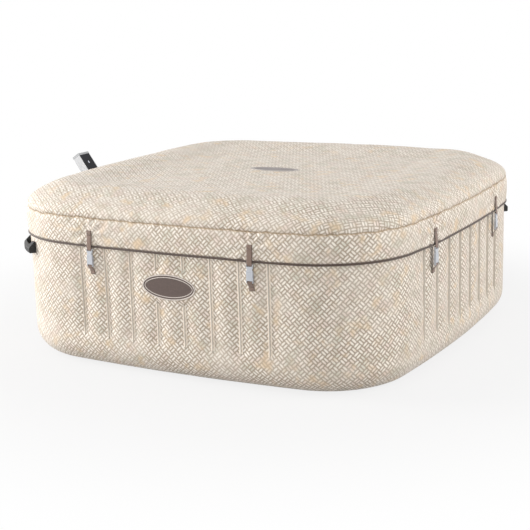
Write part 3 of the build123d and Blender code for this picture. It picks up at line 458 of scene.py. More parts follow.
def printed_weave(name, roughness, contrast, welds):
    """A print of woven strands: pale diagonal strands over beige gaps, tinted in soft blotches."""
    hues, pitch = colours(), sizes().strand
    material, tree, shader = start_finish(name, roughness, Sheen_Weight=0.08, Sheen_Roughness=0.6)
    place = add(tree, "UVMap", uv_map="cloth")
    height, number = woven_strands(tree, place, pitch)
    wide, close = (  # blotches some 180 mm and 60 mm across
        add(
            tree, "SeparateColor",
            add(tree, "TexNoise", at={"Vector": place, "Scale": 1000 / size, "Detail": 2.0}, out=1),
        ).node.outputs
        for size in (180, 60)
    )
    strand = hues.strand
    for source, low, high, most, tint in (
        (close[0], 0.46, 0.70, 0.55, hues.rose),
        (close[1], 0.48, 0.72, 0.60, hues.sage),
    ):
        share = add(tree, "MapRange", source, low, high, 0.0, most, **SOFT)
        strand = add(tree, "Mix", at={0: share, 6: strand, 7: tint}, **TWO_TONES)
    warm = add(tree, "MapRange", close[2], 0.50, 0.72, **SOFT)
    warm_patch = add(tree, "MapRange", wide[0], 0.38, 0.62, 0.0, 0.75, **SOFT)
    warm = add(tree, "Math", warm, warm_patch, operation="MULTIPLY")
    strand = add(tree, "Mix", at={0: warm, 6: strand, 7: hues.straw}, **TWO_TONES)
    half_warm = add(tree, "Math", warm, 0.67, operation="MULTIPLY")
    gap = add(tree, "Mix", at={0: half_warm, 6: hues.shade, 7: hues.straw}, **TWO_TONES)
    clear = add(
        tree, "MapRange", wide[1], 0.34, 0.60, 0.6 * contrast, contrast, **SOFT
    )
    tone = add(tree, "Math", number, 0.26, -0.13, operation="MULTIPLY_ADD")
    share = add(tree, "MapRange", height, 0.28, 0.85, **SOFT)
    share = add(tree, "Math", share, tone, operation="ADD")
    share = add(tree, "Clamp", add(tree, "Mix", at={0: clear, 2: 0.58, 3: share}))
    cloth = add(tree, "Mix", at={0: share, 6: gap, 7: strand}, **TWO_TONES)
    if welds:  # the welded strip is pressed flat; its pale tint is partly the weld's own pale colour and partly painted light that lifts the shade of its recess, and the bright line along each edge is a painted highlight
        weld = add(tree, "Attribute", attribute_name="weld", out=2)
        # Partly painted light: a cream tint over the strip lifts the shade of the weld's recess.
        strip = add(tree, "MapRange", weld, 0.006, 0.012, 0.45, 0.0, **SOFT)
        cloth = add(tree, "Mix", at={0: strip, 6: cloth, 7: linear("EFE2D0")}, **TWO_TONES)
        # Painted highlight: a bright line along each edge of the weld.
        edge = add(tree, "Math", weld, 0.0065, operation="SUBTRACT")
        edge = add(tree, "Math", edge, operation="ABSOLUTE")
        line = add(tree, "MapRange", edge, 0.0008, 0.0030, 0.8, 0.0, **SOFT)
        cloth = add(tree, "Mix", at={0: line, 6: cloth, 7: linear("F8ECDD")}, **TWO_TONES)
    else:  # painted shadow of the groove at the edge seam: a tan line, darkest at the seam
        seam = add(tree, "Attribute", attribute_name="seam", out=2)
        # Painted shadow: tan along the groove of the edge seam.
        line = add(tree, "MapRange", seam, 0.0020, 0.0075, 0.65, 0.0, **SOFT)
        cloth = add(tree, "Mix", at={0: line, 6: cloth, 7: linear("A98F6C")}, **TWO_TONES)
    thread = add(tree, "TexNoise", at={"Vector": place, "Scale": 1000 / 1.1, "Detail": 1.0})
    relief = add(tree, "Math", thread, 0.35, height, operation="MULTIPLY_ADD")
    close_finish(tree, shader, cloth, relief, 0.55, 0.0009)
    return material


def mottled(name, low, high, roughness, patch, relief, gloss=0.0, metallic=0.0, **sockets):
    """A finish of two close tones in soft patches, with a fine relief.

    patch is the patches' size in mm and their detail; relief is its node's kind, its grain in mm,
    its strength and its depth in mm; gloss is how far the roughness goes each way.
    """
    material, tree, shader = start_finish(name, roughness, metallic, **sockets)
    place = add(tree, "TexCoord", out="Object")
    cloud = add(tree, "TexNoise", at={"Vector": place, "Scale": 1000 / patch[0], "Detail": patch[1]})
    share = add(tree, "MapRange", cloud, 0.3, 0.7, **SOFT)
    if gloss:
        uneven = add(tree, "MapRange", at={0: cloud, 3: roughness - gloss, 4: roughness + gloss})
        tree.links.new(uneven, shader.inputs["Roughness"])
    grain, strength, depth = None, 0.0, 0.0
    if relief:
        kind, size, strength, depth = relief
        grain = add(tree, kind, at={"Vector": place, "Scale": 1000 / size})
    tones = add(tree, "Mix", at={0: share, 6: low, 7: high}, **TWO_TONES)
    close_finish(tree, shader, tones, grain, strength, depth / 1000)
    return material


def woven_webbing(name, value):
    """Narrow polyester webbing: fine cross ribs, matt with a little sheen, and painted shade along both
    long edges.
    """
    material, tree, shader = start_finish(name, 0.75, Sheen_Weight=0.3, Sheen_Roughness=0.5)
    place = add(tree, "UVMap", uv_map="cloth")
    part = add(tree, "SeparateXYZ", place).node.outputs
    rows = []
    for source, spacing in ((part[1], 0.0022), (part[0], 0.0031)):
        turn = add(tree, "Math", source, 2 * pi / spacing, operation="MULTIPLY")
        rows.append(add(tree, "Math", turn, operation="SINE"))
    thread = add(tree, "Math", *rows, operation="MULTIPLY")
    thread = add(tree, "Math", thread, 0.5, 0.5, operation="MULTIPLY_ADD")
    wear = add(tree, "TexNoise", at={"Vector": place, "Scale": 1000 / 11, "Detail": 3.0})
    share = add(tree, "Mix", at={0: 0.3, 2: thread, 3: wear})
    # Painted shade: the strap darkens towards both long edges, where its thickness would be in shadow.
    edge = add(tree, "Math", part[0], operation="ABSOLUTE")
    edge = add(tree, "MapRange", edge, 0.0085, 0.0120, 0.0, 0.6, **SOFT)
    dark = shaded(value, 0.62)
    cloth = add(tree, "Mix", at={0: share, 6: dark, 7: shaded(value, 1.30)}, **TWO_TONES)
    cloth = add(tree, "Mix", at={0: edge, 6: cloth, 7: dark}, **TWO_TONES)
    close_finish(tree, shader, cloth, thread, 0.6, 0.0004)
    return material


def bound_cord(name, value):
    """Cloth-bound piping: fine slanting threads round the cord, matt."""
    material, tree, shader = start_finish(name, 0.7, Sheen_Weight=0.2)
    part = add(tree, "SeparateXYZ", add(tree, "UVMap", uv_map="cloth")).node.outputs
    slant = add(tree, "Math", part[0], part[1], operation="ADD")
    slant = add(tree, "Math", slant, 2 * pi / 0.0035, operation="MULTIPLY")
    thread = add(tree, "Math", slant, operation="SINE")
    thread = add(tree, "Math", thread, 0.5, 0.5, operation="MULTIPLY_ADD")
    cloth = add(tree, "Mix", at={0: thread, 6: shaded(value, 0.7), 7: shaded(value, 1.25)}, **TWO_TONES)
    close_finish(tree, shader, cloth, thread, 0.5, 0.0004)
    return material


def foil_cloth(name):
    """Aluminised insulating cloth: a small bubble pattern, creased, with a blurred metal shine."""
    material, tree, shader = start_finish(name, 0.38, metallic=0.85)
    place = add(tree, "TexCoord", out="Object")
    bubble = add(tree, "TexVoronoi", at={"Vector": place, "Scale": 1000 / 11, "Randomness": 0.15})
    crease = add(tree, "TexNoise", at={"Vector": place, "Scale": 1000 / 83, "Detail": 5.0})
    height = add(tree, "Math", crease, bubble, operation="SUBTRACT")
    foil = add(tree, "Mix", at={0: crease, 6: linear("AEB2B6"), 7: linear("D2D4D6")}, **TWO_TONES)
    close_finish(tree, shader, foil, height, 0.5, 0.002)
    return material


FINISHES = {}


def make_finishes():
    """Makes each finish once, under its slot in the CAD record."""
    hues = colours()
    FINISHES.update(
        woven_print=printed_weave("laminated_weave_print", 0.55, 1.0, welds=True),
        lid_print=printed_weave("coated_cloth_weave_print", 0.70, 0.85, welds=False),
        foil_lining=foil_cloth("aluminised_cloth"),
        piping=bound_cord("cloth_bound_piping", hues.piping),
        webbing=woven_webbing("polyester_webbing", hues.webbing),
        # Vinyl laminated on scrim: a faint leathery emboss, satin
        pale_sheet=mottled(
            "plain_laminate", shaded(hues.sheet, 0.88), hues.sheet, 0.45, (330, 4.0),
            ("TexVoronoi", 3.8, 0.35, 0.6), Coat_Weight=0.08,
        ),
        # Calendered vinyl film: smooth and glossy, with faint waves
        air_pad=mottled(
            "vinyl_film", linear("798290"), linear("8E98A6"), 0.22, (110, 3.0),
            ("TexNoise", 110, 0.4, 3.0), Coat_Weight=0.2,
        ),
        # Non-woven filter paper: matt white with soft fibre clumps
        filter_paper=mottled(
            "filter_paper", linear("D8DADB"), linear("F0F1F1"), 0.9, (2.5, 4.0), ("TexNoise", 2.5, 0.4, 0.5)
        ),
        # Drawn stainless steel tube and screws: a fine blur in the shine
        steel=mottled(
            "stainless_steel", linear("A9ABAD"), linear("D0D2D3"), 0.32, (5, 2.0),
            ("TexNoise", 1.1, 0.2, 0.2), gloss=0.10, metallic=1.0,
        ),
        # Enamel on a ribbed motor can: semi-gloss with a little orange peel
        motor_paint=mottled(
            "motor_enamel", linear("2A2D30"), linear("3B3F43"), 0.4, (4, 2.0),
            ("TexNoise", 4, 0.3, 0.4), Coat_Weight=0.3,
        ),
        # Polished black acrylic: a deep gloss with the faintest haze of handling
        touch_glass=mottled(
            "polished_acrylic", linear("06070D"), linear("10121C"), 0.13, (33, 4.0), None,
            gloss=0.05, Specular_IOR_Level=0.22,
        ),
    )
    # Printed and domed vinyl: an even satin colour with a faint brushed grain
    for slot, name, value in (
        ("badge", "badge_vinyl", hues.badge),
        ("badge_rim", "badge_rim_vinyl", hues.badge_rim),
        ("mark", "pad_print", linear("C9CEDA")),
    ):
        FINISHES[slot] = mottled(
            name, shaded(value, 0.86), value, 0.35, (6.2, 3.0), ("TexNoise", 6.2, 0.15, 0.3),
            Coat_Weight=0.15,
        )
    # Injection-moulded plastic and rubber: a fine spark-eroded grain, the gloss a little cloudy
    for slot, name, value, roughness, grain, strength in (
        ("buckle", "acetal_satin", hues.buckle, 0.35, 1.2, 0.12),
        ("handle", "soft_touch_rubber", linear("141312"), 0.55, 0.9, 0.40),
        ("grey_plastic", "abs_grey", linear("A4A6A8"), 0.45, 1.0, 0.25),
        ("white_plastic", "abs_white", hues.shell, 0.38, 1.0, 0.15),
        ("dark_plastic", "abs_charcoal", linear("35363A"), 0.50, 1.0, 0.25),
        ("foot_rubber", "foot_rubber", linear("1C1C1D"), 0.80, 1.5, 0.50),
        ("thread", "sewing_thread", linear("A8988B"), 0.80, 0.4, 0.25),
    ):
        FINISHES[slot] = mottled(
            name, shaded(value, 0.96), value, roughness, (71, 3.0), ("TexNoise", grain, strength, 0.3),
            gloss=0.15 * roughness,
        )


def refinish(*nodes):
    """Gives CAD nodes the finish of their slot in the record."""
    slots = {row["node"]: row["material_slot"] for row in frame["record"]["subparts"]}
    for name in nodes:
        mesh = frame["nodes"][name].data
        mesh.materials.clear()
        mesh.materials.append(FINISHES[slots[name]])


# ---- Tub body -------------------------------------------------------------------------------------
LEFT_SIDE = 3
FITTINGS = [  # places on the left wall that a welded patch keeps flat: run, height, radius
    (-PITCH, 0.220, 0.040),
    (PITCH, 0.220, 0.040),
    (0.0, 0.420, 0.033),
    (-2 * PITCH, 0.320, 0.024),
    (2 * PITCH, 0.160, 0.030),
]


def flattened(side, run, height):
    """How far a place is kept flat by a patch, a fitting or a badge, from 0 to 1."""
    kept = 0.0
    if side == LEFT_SIDE:
        for at, level, radius in FITTINGS:
            gap = sqrt((run - at) ** 2 + (height - level) ** 2)
            kept = max(kept, 1 - smooth(radius + 0.004, radius + 0.040, gap))
    if side == 0:
        across = run / (BADGE[1].x + 0.006)
        up = (height - (BADGE[0].z + BADGE[1].z) / 2) / ((BADGE[1].z - BADGE[0].z) / 2 + 0.006)
        kept = max(kept, 1 - smooth(1.0, 1.35, sqrt(across**2 + up**2)))
    return kept


def press_welds(bm, low, high, sign, depth):
    """Draws the upright welds of a swept wall in, so that the channels between them stand round."""
    weld = bm.verts.layers.float.new("weld")
    rise = bm.verts.layers.float["rise"]
    half_strip = sizes().weld_width / 2
    unsettled = 0.0022  # how far the skin ripples and sags
    most = 0.0008  # the furthest it may stand out of the frame
    for v in bm.verts:
        side, run, _, outward = plan_place(v.co)
        gap = weld_distance(run)
        height = v.co.z
        kept = flattened(side, run, height) if sign > 0 else 0.0
        inner = max(0.0, gap - half_strip) / (PITCH / 2 - half_strip)
        fall = max(0.0, 1 - inner) ** 2
        reach = smooth(low, low + 0.05, height) * (1 - smooth(high - 0.05, high, height))
        v[weld] = gap + 0.2 * (1 - smooth(0, 0.5, reach)) + 0.2 * kept
        spot = Vector((whole_run(side, run), v[rise], 1.7))
        ripple = wander(spot.x * 9, spot.y * 46, 0) * unsettled * fall * (1 - inner * 0.5)
        sag = (noise.noise(spot * 5) - 0.4) * unsettled
        push = -depth * fall * reach * (1 - kept) + ripple * reach * (1 - kept) + sag * (1 - kept)
        v.co += outward * sign * min(push, most)


class HOTTUB_OT_outer_wall(bpy.types.Operator):
    """Makes the inflated outer wall with its welded channels"""

    bl_idname = "hottub.outer_wall"
    bl_label = "Outer wall"

    def execute(self, context):
        bm = new_mesh()
        profile = draw(
            bm, (FOOT_ROUND, 0),
            (FOOT_ROUND, FOOT_ROUND, -90, 18),
            (0, HEIGHT - TOP_ROUND, 0.0085),
            (TOP_ROUND, HEIGHT - TOP_ROUND, -90, 14),
        )
        carry_round(bm, profile, 42, 12, 60)
        face_out(bm)
        press_welds(bm, 0.135, 0.672, 1, sizes().weld_depth)  # between the welds' ends
        lay_flat(bm)
        wall = piece(bm, "outer_wall_skin", "tub", "woven_print", FINISHES["woven_print"])
        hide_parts("outer_wall")
        return {"FINISHED"}


class HOTTUB_OT_basin(bpy.types.Operator):
    """Makes the deck, the basin's wall with its channels, the base and the air-jet strip"""

    bl_idname = "hottub.basin"
    bl_label = "Basin"

    def execute(self, context):
        sheet = FINISHES["pale_sheet"]
        bm = new_mesh()
        deck = draw(
            bm, (TOP_ROUND + 0.0003, HEIGHT), (CHAMBER - RIM_ROUND, HEIGHT, 0.014),
            (CHAMBER - RIM_ROUND, HEIGHT - RIM_ROUND, -90, 10),
        )
        carry_round(bm, deck, 28, 6, 30)
        face_up(bm)
        for v in bm.verts:
            side, run, out, outward = plan_place(v.co)
            spot = Vector((whole_run(side, run) * 6, out * 12, 4))
            v.co.z -= 0.0015 * (0.5 + noise.noise(spot)) * smooth(0, 0.03, -out - TOP_ROUND)
        lay_flat(bm)
        made = piece(bm, "top_deck_skin", "tub", "pale_sheet", sheet)
        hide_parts("top_deck")

        bm = new_mesh()
        wall = draw(bm, (CHAMBER, 0.0024), (CHAMBER, HEIGHT - RIM_ROUND - 0.0004, 0.012))
        carry_round(bm, wall, 42, 6, 24)
        face_out(bm, -1)
        press_welds(bm, 0.06, 0.628, -1, 0.012)
        lay_flat(bm)
        made = piece(bm, "basin_wall_skin", "tub", "pale_sheet", sheet)
        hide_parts("inner_wall")

        bm = new_mesh()
        face = outline_face(bm, -FOOT_ROUND - 0.0003, 0)
        flat = face.calc_area()
        raise_block(bm, face, 0.002)
        mark_runs(bm)
        lay_flat(bm)
        made = piece(bm, "base_mat", "tub", "pale_sheet", sheet, sharp=40)
        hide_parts("base_sheet")

        bm = new_mesh()
        strip = 0.045
        arc = draw(bm, (CHAMBER + 0.0003, 0.0023 + strip), (CHAMBER + 0.0003, 0.0023, -90, 10))
        carry_round(bm, arc, 28, 6, 24)
        face_out(bm, -1)
        for v in bm.verts:
            side, run, _, outward = plan_place(v.co)
            v.co += outward * 0.0012 * (0.5 + wander(whole_run(side, run) * 14, v.co.z * 20, 2))
        lay_flat(bm)
        made = thicken(piece(bm, "air_jet_strip", "tub", "pale_sheet", sheet), 0.0015)
        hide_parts("air_channel")
        refinish("wall_webs")
        return {"FINISHED"}


# ---- Lid ------------------------------------------------------------------------------------------
HEM_STEPS = (56, 14, 64)  # the skirt and its piping are cut alike, so they stay together
PUCKER_REACH = 0.022  # distance from the seam in which the puckers fade
GROOVE_REACH = 0.012  # half width of the groove at the seam
STRAP_FOOT = 0.630  # height of the straps' stitched ends


def hem_height(run_round):
    """How far the hem wanders up or down, at a run round the whole outline."""
    lift = 0.0
    for side, along in STRAPS:
        gap = (run_round - whole_run(side, along)) / 0.10
        if abs(gap) < 2.5:
            lift -= 0.0016 * exp(-gap * gap)  # each strap pulls the hem down a little
    return lift + sizes().hem_wave * wander(run_round * 3.1, 7.3, 0)


def pucker(run_round, gap, phase):
    """Gathers along the edge seam: short folds that die out within a few centimetres of it."""
    fold = wander(run_round * 34, phase, 0) + 0.6 * wander(run_round * 71, phase, 5)
    patch = 0.55 + 0.9 * max(0.0, wander(run_round * 4.3, phase, 9))
    return sizes().pucker * fold * patch * exp(-abs(gap) / PUCKER_REACH)


def seam_wander(run_round):
    """How far the edge seam strays up or down where the cloth is gathered into it."""
    return 0.0055 * wander(run_round * 17, 2, 0) + 0.003 * wander(run_round * 47, 2, 0)


def pull_folds(side, run, height):
    """Slack folds that fan out from a strap's stitched end."""
    total = 0.0
    for at, along in STRAPS:
        if at != side:
            continue
        x, z = run - along, height - STRAP_FOOT
        far = sqrt(x * x + z * z)
        if far < 0.16:
            fan = atan2(z, x)
            total += 0.0042 * sin(fan * 9 + 3 * wander(along * 5, side, 0)) * smooth(
                0.018, 0.05, far
            ) * (1 - smooth(0.06, 0.16, far))
    return total


def swell(obj, frames, pressure, cap):
    """Inflates a closed mesh with Cloth for some frames, then keeps each point within cap of rest."""
    scene = bpy.context.scene
    rest = [v.co.copy() for v in obj.data.vertices]
    pins = obj.vertex_groups.new(name="held")
    pins.add([v.index for v in obj.data.vertices if v.co.z < SEAM + 0.006], 1.0, "REPLACE")
    cloth = obj.modifiers.new("swell", "CLOTH")
    cloth.settings.quality = 4
    cloth.settings.mass = 0.4
    cloth.settings.use_pressure = True
    cloth.settings.uniform_pressure_force = pressure
    cloth.settings.tension_stiffness = 20
    cloth.settings.compression_stiffness = 20
    cloth.settings.shear_stiffness = 8
    cloth.settings.bending_stiffness = 0.4
    cloth.settings.vertex_group_mass = "held"
    cloth.settings.effector_weights.gravity = 0
    cloth.collision_settings.use_collision = False
    cloth.point_cache.frame_start, cloth.point_cache.frame_end = 1, frames
    for step in range(1, frames + 1):
        scene.frame_set(step)
    shown = obj.evaluated_get(bpy.context.evaluated_depsgraph_get())
    moved = [v.co.copy() for v in shown.data.vertices]
    obj.modifiers.remove(cloth)
    obj.vertex_groups.remove(pins)
    scene.frame_set(1)
    for v, start, end in zip(obj.data.vertices, rest, moved):
        shift = end - start
        limit = cap(start)
        if shift.length > limit:
            shift *= limit / shift.length
        v.co = start + shift


LID_RIM = 0.080


def puffed(inset):
    """How much of the rim's puff a place has, by its distance in from the lid's edge."""
    return smooth(0.05, 0.20, inset) * (1 - smooth(0.24, 0.45, inset))


def lid_height(co):
    """The height of the lid's top at a place: it rolls over at the rim, swells, and is flat inside."""
    _, run, out, _ = plan_place(co)
    inset = max(0.0, SKIRT_OUT - out)
    x, y = co.x, co.y
    corner = smooth(HALF_SIDE_RUN * 0.75, QUARTER / 2, abs(run))
    roll = sizes().rim_roll * (1 + 0.35 * corner) * (1 + 0.12 * wander(x * 3, y * 3, 8))
    share = 1 - min(1.0, inset / roll)
    swelling = sizes().rim_puff * puffed(inset) * (1 + 0.5 * wander(x * 1.7, y * 1.7, 3))
    lumps = 0.0022 * wander(x * 7, y * 7, 1) * smooth(0.02, 0.1, inset) * (inset < 0.8)
    return LID_TOP - LID_RIM + LID_RIM * sqrt(1 - share * share) + swelling + lumps


class HOTTUB_OT_lid_cover(bpy.types.Operator):
    """Makes the lid's padded cover, swollen round its rim and flat in the middle"""

    bl_idname = "hottub.lid_cover"
    bl_label = "Lid cover"

    voxel = 0.010

    def execute(self, context):
        size = sizes()
        bm = new_mesh()
        face = outline_face(bm, SKIRT_OUT, SEAM)
        top = raise_block(bm, face, LID_TOP - SEAM)
        round_edges(bm, list(top.edges), LID_RIM, 10)
        bmesh.ops.triangulate(bm, faces=[f for f in bm.faces if len(f.verts) > 4])
        block = as_object(as_mesh(bm, "rough"), "lid_block")
        remesh = block.modifiers.new("even", "REMESH")
        remesh.mode, remesh.voxel_size = "VOXEL", self.voxel
        shown = block.evaluated_get(context.evaluated_depsgraph_get())
        even = bpy.data.meshes.new_from_object(shown)
        block.modifiers.clear()
        block.data = even
        for v in even.vertices:
            if v.co.z >= LID_TOP - LID_RIM:
                v.co.z = lid_height(v.co)
        swell(block, 14, 3.0, lambda at: 0.0015 + 0.006 * puffed(SKIRT_OUT - plan_place(at)[2]))
        bm = bmesh.new()
        bm.from_mesh(block.data)
        bpy.data.objects.remove(block)
        under = [f for f in bm.faces if f.calc_center_median().z < SEAM + 0.004]
        bmesh.ops.delete(bm, geom=under, context="FACES")
        seam = bm.verts.layers.float.new("seam")
        for v in bm.verts:
            side, run, out, outward = plan_place(v.co)
            gap = 0.0 if v.is_boundary else max(0.0, v.co.z - SEAM)
            v[seam] = gap
            if out > SKIRT_OUT - LID_RIM:
                if gap < 0.012:  # level with the skirt's top
                    v.co += outward * (SKIRT_OUT - 0.0004 - out)
                around = whole_run(side, run)
                groove = exp(-((gap / GROOVE_REACH) ** 2))
                v.co += outward * (pucker(around, gap, 0.0) - size.groove * groove)
                v.co.z += 0.6 * pucker(around, gap, 3.0) * smooth(0.004, 0.02, gap)
                v.co.z += seam_wander(around) * (1 - smooth(0.0, 0.03, gap))
                if v.is_boundary:
                    v.co.z = SEAM - 0.003 + seam_wander(around)
        self.unroll(bm)
        cover = piece(bm, "lid_cover_cloth", "lid", "lid_print", FINISHES["lid_print"])
        thicken(cover, 0.002)
        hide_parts("lid_cover")
        return {"FINISHED"}

    def unroll(self, bm):
        """UV of the flat top panel, whose edge is folded down over the rim."""
        uv = bm.loops.layers.uv.new("cloth")
        centre = LID_TOP - LID_RIM
        for face in bm.faces:
            for loop in face.loops:
                co = loop.vert.co
                _, _, out, outward = plan_place(co)
                inset = SKIRT_OUT - out
                fold = 0.0
                if inset < LID_RIM:
                    level = LID_RIM - inset
                    drop = co.z - centre
                    if drop > 0:
                        fold = LID_RIM * atan2(level, drop) - level
                    else:
                        fold = LID_RIM * pi / 2 - drop - level
                loop[uv].uv = (co + outward * fold).to_2d()


class HOTTUB_OT_skirt(bpy.types.Operator):
    """Makes the lid's skirt and the piping round its hem"""

    bl_idname = "hottub.skirt"
    bl_label = "Skirt and piping"

    def execute(self, context):
        size = sizes()
        bm = new_mesh()
        middle = SKIRT_OUT - 0.00125
        line = draw(bm, (-middle, HEM), (-middle, SEAM, 0.0062))
        carry_round(bm, line, *HEM_STEPS)
        face_out(bm)
        deep = SEAM - HEM
        seam = bm.verts.layers.float.new("seam")
        for v in bm.verts:
            side, run, _, outward = plan_place(v.co)
            v[seam] = SEAM - v.co.z
            around = whole_run(side, run)
            gap = SEAM - v.co.z
            share = gap / deep
            belly = 0.0042 * sin(pi * share) ** 0.8 if 0 < share < 1 else 0.0
            groove = size.groove * exp(-((gap / GROOVE_REACH) ** 2))
            slack = 0.0016 * wander(around * 11, v.co.z * 16, 6) * sin(pi * min(1, max(0, share)))
            push = belly - groove + slack + pucker(around, gap, 0.0) + pull_folds(side, run, v.co.z)
            v.co += outward * max(push, -0.0055)
            v.co.z += hem_height(around) * smooth(0.3, 1.0, share)
            v.co.z += seam_wander(around) * (1 - smooth(0.0, 0.03, gap))
        lay_flat(bm)
        skirt = thicken(piece(bm, "lid_skirt_cloth", "lid", "lid_print", FINISHES["lid_print"]), 0.0016, 0)
        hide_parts("lid_skirt")

        bm = new_mesh()
        run, rise = bm.verts.layers.float["run"], bm.verts.layers.float["rise"]
        sides = 12
        ring = bmesh.ops.create_circle(bm, cap_ends=False, segments=sides, radius=PIPING)["verts"]
        for i, v in enumerate(ring):
            v[rise] = 2 * pi * PIPING * i / sides
        bmesh.ops.rotate(bm, verts=ring, cent=(0, 0, 0), matrix=Matrix.Rotation(pi / 2, 3, "Y"))
        bmesh.ops.translate(bm, verts=ring, vec=(0, -HALF - middle, HEM - PIPING))
        carry_round(bm, list(bm.verts) + list(bm.edges), *HEM_STEPS)
        for v in bm.verts:
            v.co.z += hem_height(v[run])
        lay_flat(bm)
        piping = piece(bm, "hem_piping", "lid", "piping", FINISHES["piping"])
        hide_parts("skirt_piping")
        return {"FINISHED"}


class HOTTUB_OT_lid_inside(bpy.types.Operator):
    """Makes the lid's air pad and its reflective lining"""

    bl_idname = "hottub.lid_inside"
    bl_label = "Lid inside"

    def execute(self, context):
        low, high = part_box("lid_lining")
        bm = new_mesh()
        face = outline_face(bm, high.x - HALF - 0.010, low.z)
        flat = face.calc_area()
        raise_block(bm, face, high.z - low.z)
        mark_runs(bm)
        lay_flat(bm)
        lining = piece(bm, "lid_lining_foil", "lid", "foil_lining", FINISHES["foil_lining"], sharp=40)
        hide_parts("lid_lining")

        low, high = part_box("lid_air_pad")
        bm = new_mesh()
        face = outline_face(bm, high.x - HALF - 0.012, low.z)
        top = raise_block(bm, face, high.z - low.z - 0.002)
        round_edges(bm, list(top.edges), 0.074, 8)
        bm.normal_update()
        top = top_face(bm)
        for share, fall in ((0.92, 0.0), (0.86, -0.002), (0.82, 0.0015), (0.76, -0.002), (0.7, 0.0015)):
            made = bmesh.ops.extrude_face_region(bm, geom=[top])
            bmesh.ops.delete(bm, geom=[top], context="FACES_ONLY")
            top = of_kind(made["geom"], BMFace)[0]
            bmesh.ops.scale(bm, verts=top.verts, vec=(share, share, 1))
            bmesh.ops.translate(bm, verts=top.verts, vec=(0, 0, fall))
        for v in bm.verts:
            v.co.z = min(v.co.z, lid_height(v.co) - 0.012)
        mark_runs(bm)
        lay_flat(bm)
        pad = piece(bm, "lid_air_bladder", "lid", "air_pad", FINISHES["air_pad"], sharp=60)
        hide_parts("lid_air_pad")
        refinish("pad_valve")
        return {"FINISHED"}


